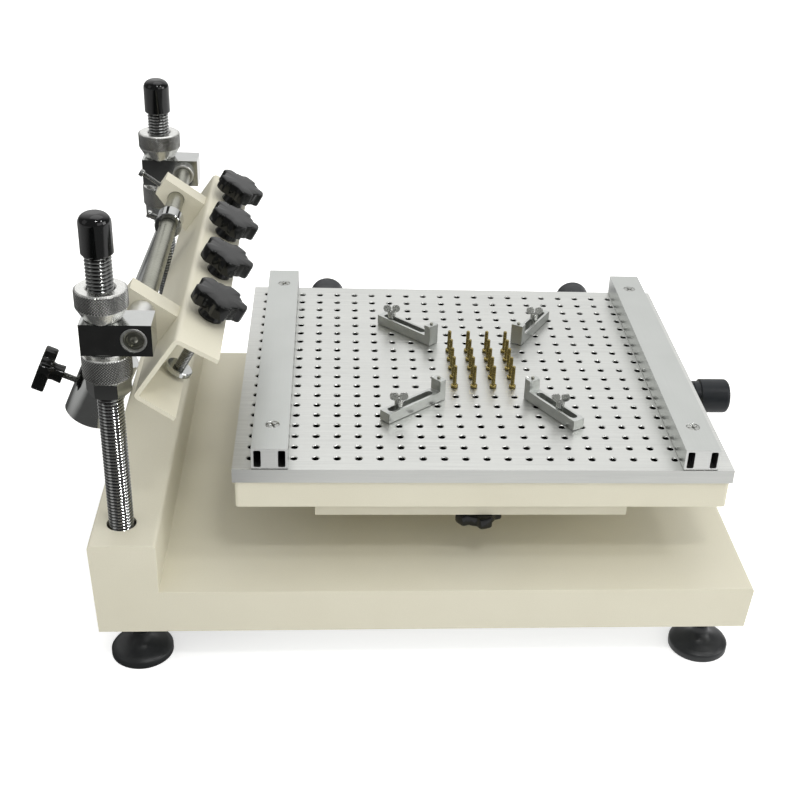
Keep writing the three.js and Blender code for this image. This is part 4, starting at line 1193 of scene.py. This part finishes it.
# Painted reflection: reflections see the floor as a glow, dim in front of the machine and to its left, and
# brighter again far to the left.
fades = [
    add(paper_tree, "ShaderNodeMapRange", inputs={
        "Value": where[axis], "From Min": start, "From Max": end, "To Min": first, "To Max": last,
    }).outputs[0]
    for axis, start, end, first, last in (
        ("Y", -0.62, -0.45, 0.25, 1), ("X", -0.16, -0.09, 0.1, 1.05), ("X", -0.6, -1.0, 0, 0.45),
    )
]
painted_reflection_strength = add(paper_tree, "ShaderNodeMath", {"operation": "MULTIPLY_ADD"}, dict(enumerate(fades)))
painted_reflection = add(paper_tree, "ShaderNodeEmission", inputs={"Strength": painted_reflection_strength.outputs[0]})
paper_seen = add(paper_tree, "ShaderNodeMixShader", inputs={
    0: seen["Is Glossy Ray"], 1: both.outputs[0], 2: painted_reflection.outputs[0],
})
add(paper_tree, "ShaderNodeOutputMaterial", inputs={"Surface": paper_seen.outputs[0]})
floor_mesh.materials.append(paper)
floor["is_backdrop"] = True
print("floor", 2 * floor_size, "m wide")

# %% World
world = bpy.data.worlds.new("studio")
world.use_nodes = True
scene.world = world
sky = world.node_tree
sky.nodes.clear()
rays = add(sky, "ShaderNodeLightPath").outputs
camera_or_clear = add(sky, "ShaderNodeMath", {"operation": "MAXIMUM"}, {
    0: rays["Is Camera Ray"], 1: rays["Is Transmission Ray"],
})
direction = add(sky, "ShaderNodeTexCoord").outputs["Generated"]
towards_back = add(sky, "ShaderNodeVectorMath", {"operation": "DOT_PRODUCT"}, {
    0: direction, 1: (0, 0.66, 0.75),
})
room = add(sky, "ShaderNodeMapRange", {"interpolation_type": "SMOOTHSTEP"}, {
    "Value": towards_back.outputs["Value"], "From Min": 0.5, "From Max": 0.94,
    "To Min": 0.16, "To Max": 1.1,
})
ambient_light = 0.71
in_mirror, on_object, on_screen = (
    add(sky, "ShaderNodeBackground", inputs={"Color": (1, 1, 1, 1), "Strength": strength}).outputs[0]
    for strength in (room.outputs[0], ambient_light, 1)
)
mirrored_or_lit = add(sky, "ShaderNodeMixShader", inputs={
    0: rays["Is Glossy Ray"], 1: on_object, 2: in_mirror,
})
chosen = add(sky, "ShaderNodeMixShader", inputs={
    0: camera_or_clear.outputs[0], 1: mirrored_or_lit.outputs[0], 2: on_screen,
})
add(sky, "ShaderNodeOutputWorld", inputs={"Surface": chosen.outputs[0]})
print("ambient light", ambient_light)

# %% Lamps
soft_boxes = {  # place, target, width, height and power, in metres and watts
    "front_box": ((1.3, -1.6, 1.05), (0, 0, 0.1), 1.2, 1.0, 3.5),
    "left_box": ((-1.8, -0.7, 1.2), (0, 0, 0.15), 1.0, 1.2, 1.5),
    "right_box": ((2.0, -0.5, 0.85), (0, 0, 0.1), 1.0, 1.0, 9),
    "top_box": ((0.1, 0.3, 1.9), (0, 0, 0), 1.4, 1.4, 5),
    "front_strip": ((0.25, -0.95, 1.6), (0, 0, 0.15), 0.26, 0.12, 4),
    "side_strip": ((0.95, -0.5, 1.4), (0, 0, 0.15), 0.12, 0.22, 2.5),
}
for name, (place, target, width, height, power) in soft_boxes.items():
    data = bpy.data.lights.new(name, "AREA")
    data.shape = "RECTANGLE"
    data.size, data.size_y = width, height
    data.energy = power
    lamp = linked(name, data)
    lamp.location = place
    lamp.rotation_mode = "QUATERNION"
    lamp.rotation_quaternion = (Vector(target) - Vector(place)).to_track_quat("-Z", "Y")
print("lamps:", list(soft_boxes))
scene.view_settings.view_transform = "Standard"

# %% [markdown]
# ## Size and finish
#
# The dressed model has to stay inside the box of its solids, so the size of its own box is printed.

# %% Sizes
low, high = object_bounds()
print("visual box, mm:", [round(v * 1000, 1) for v in (high - low)])
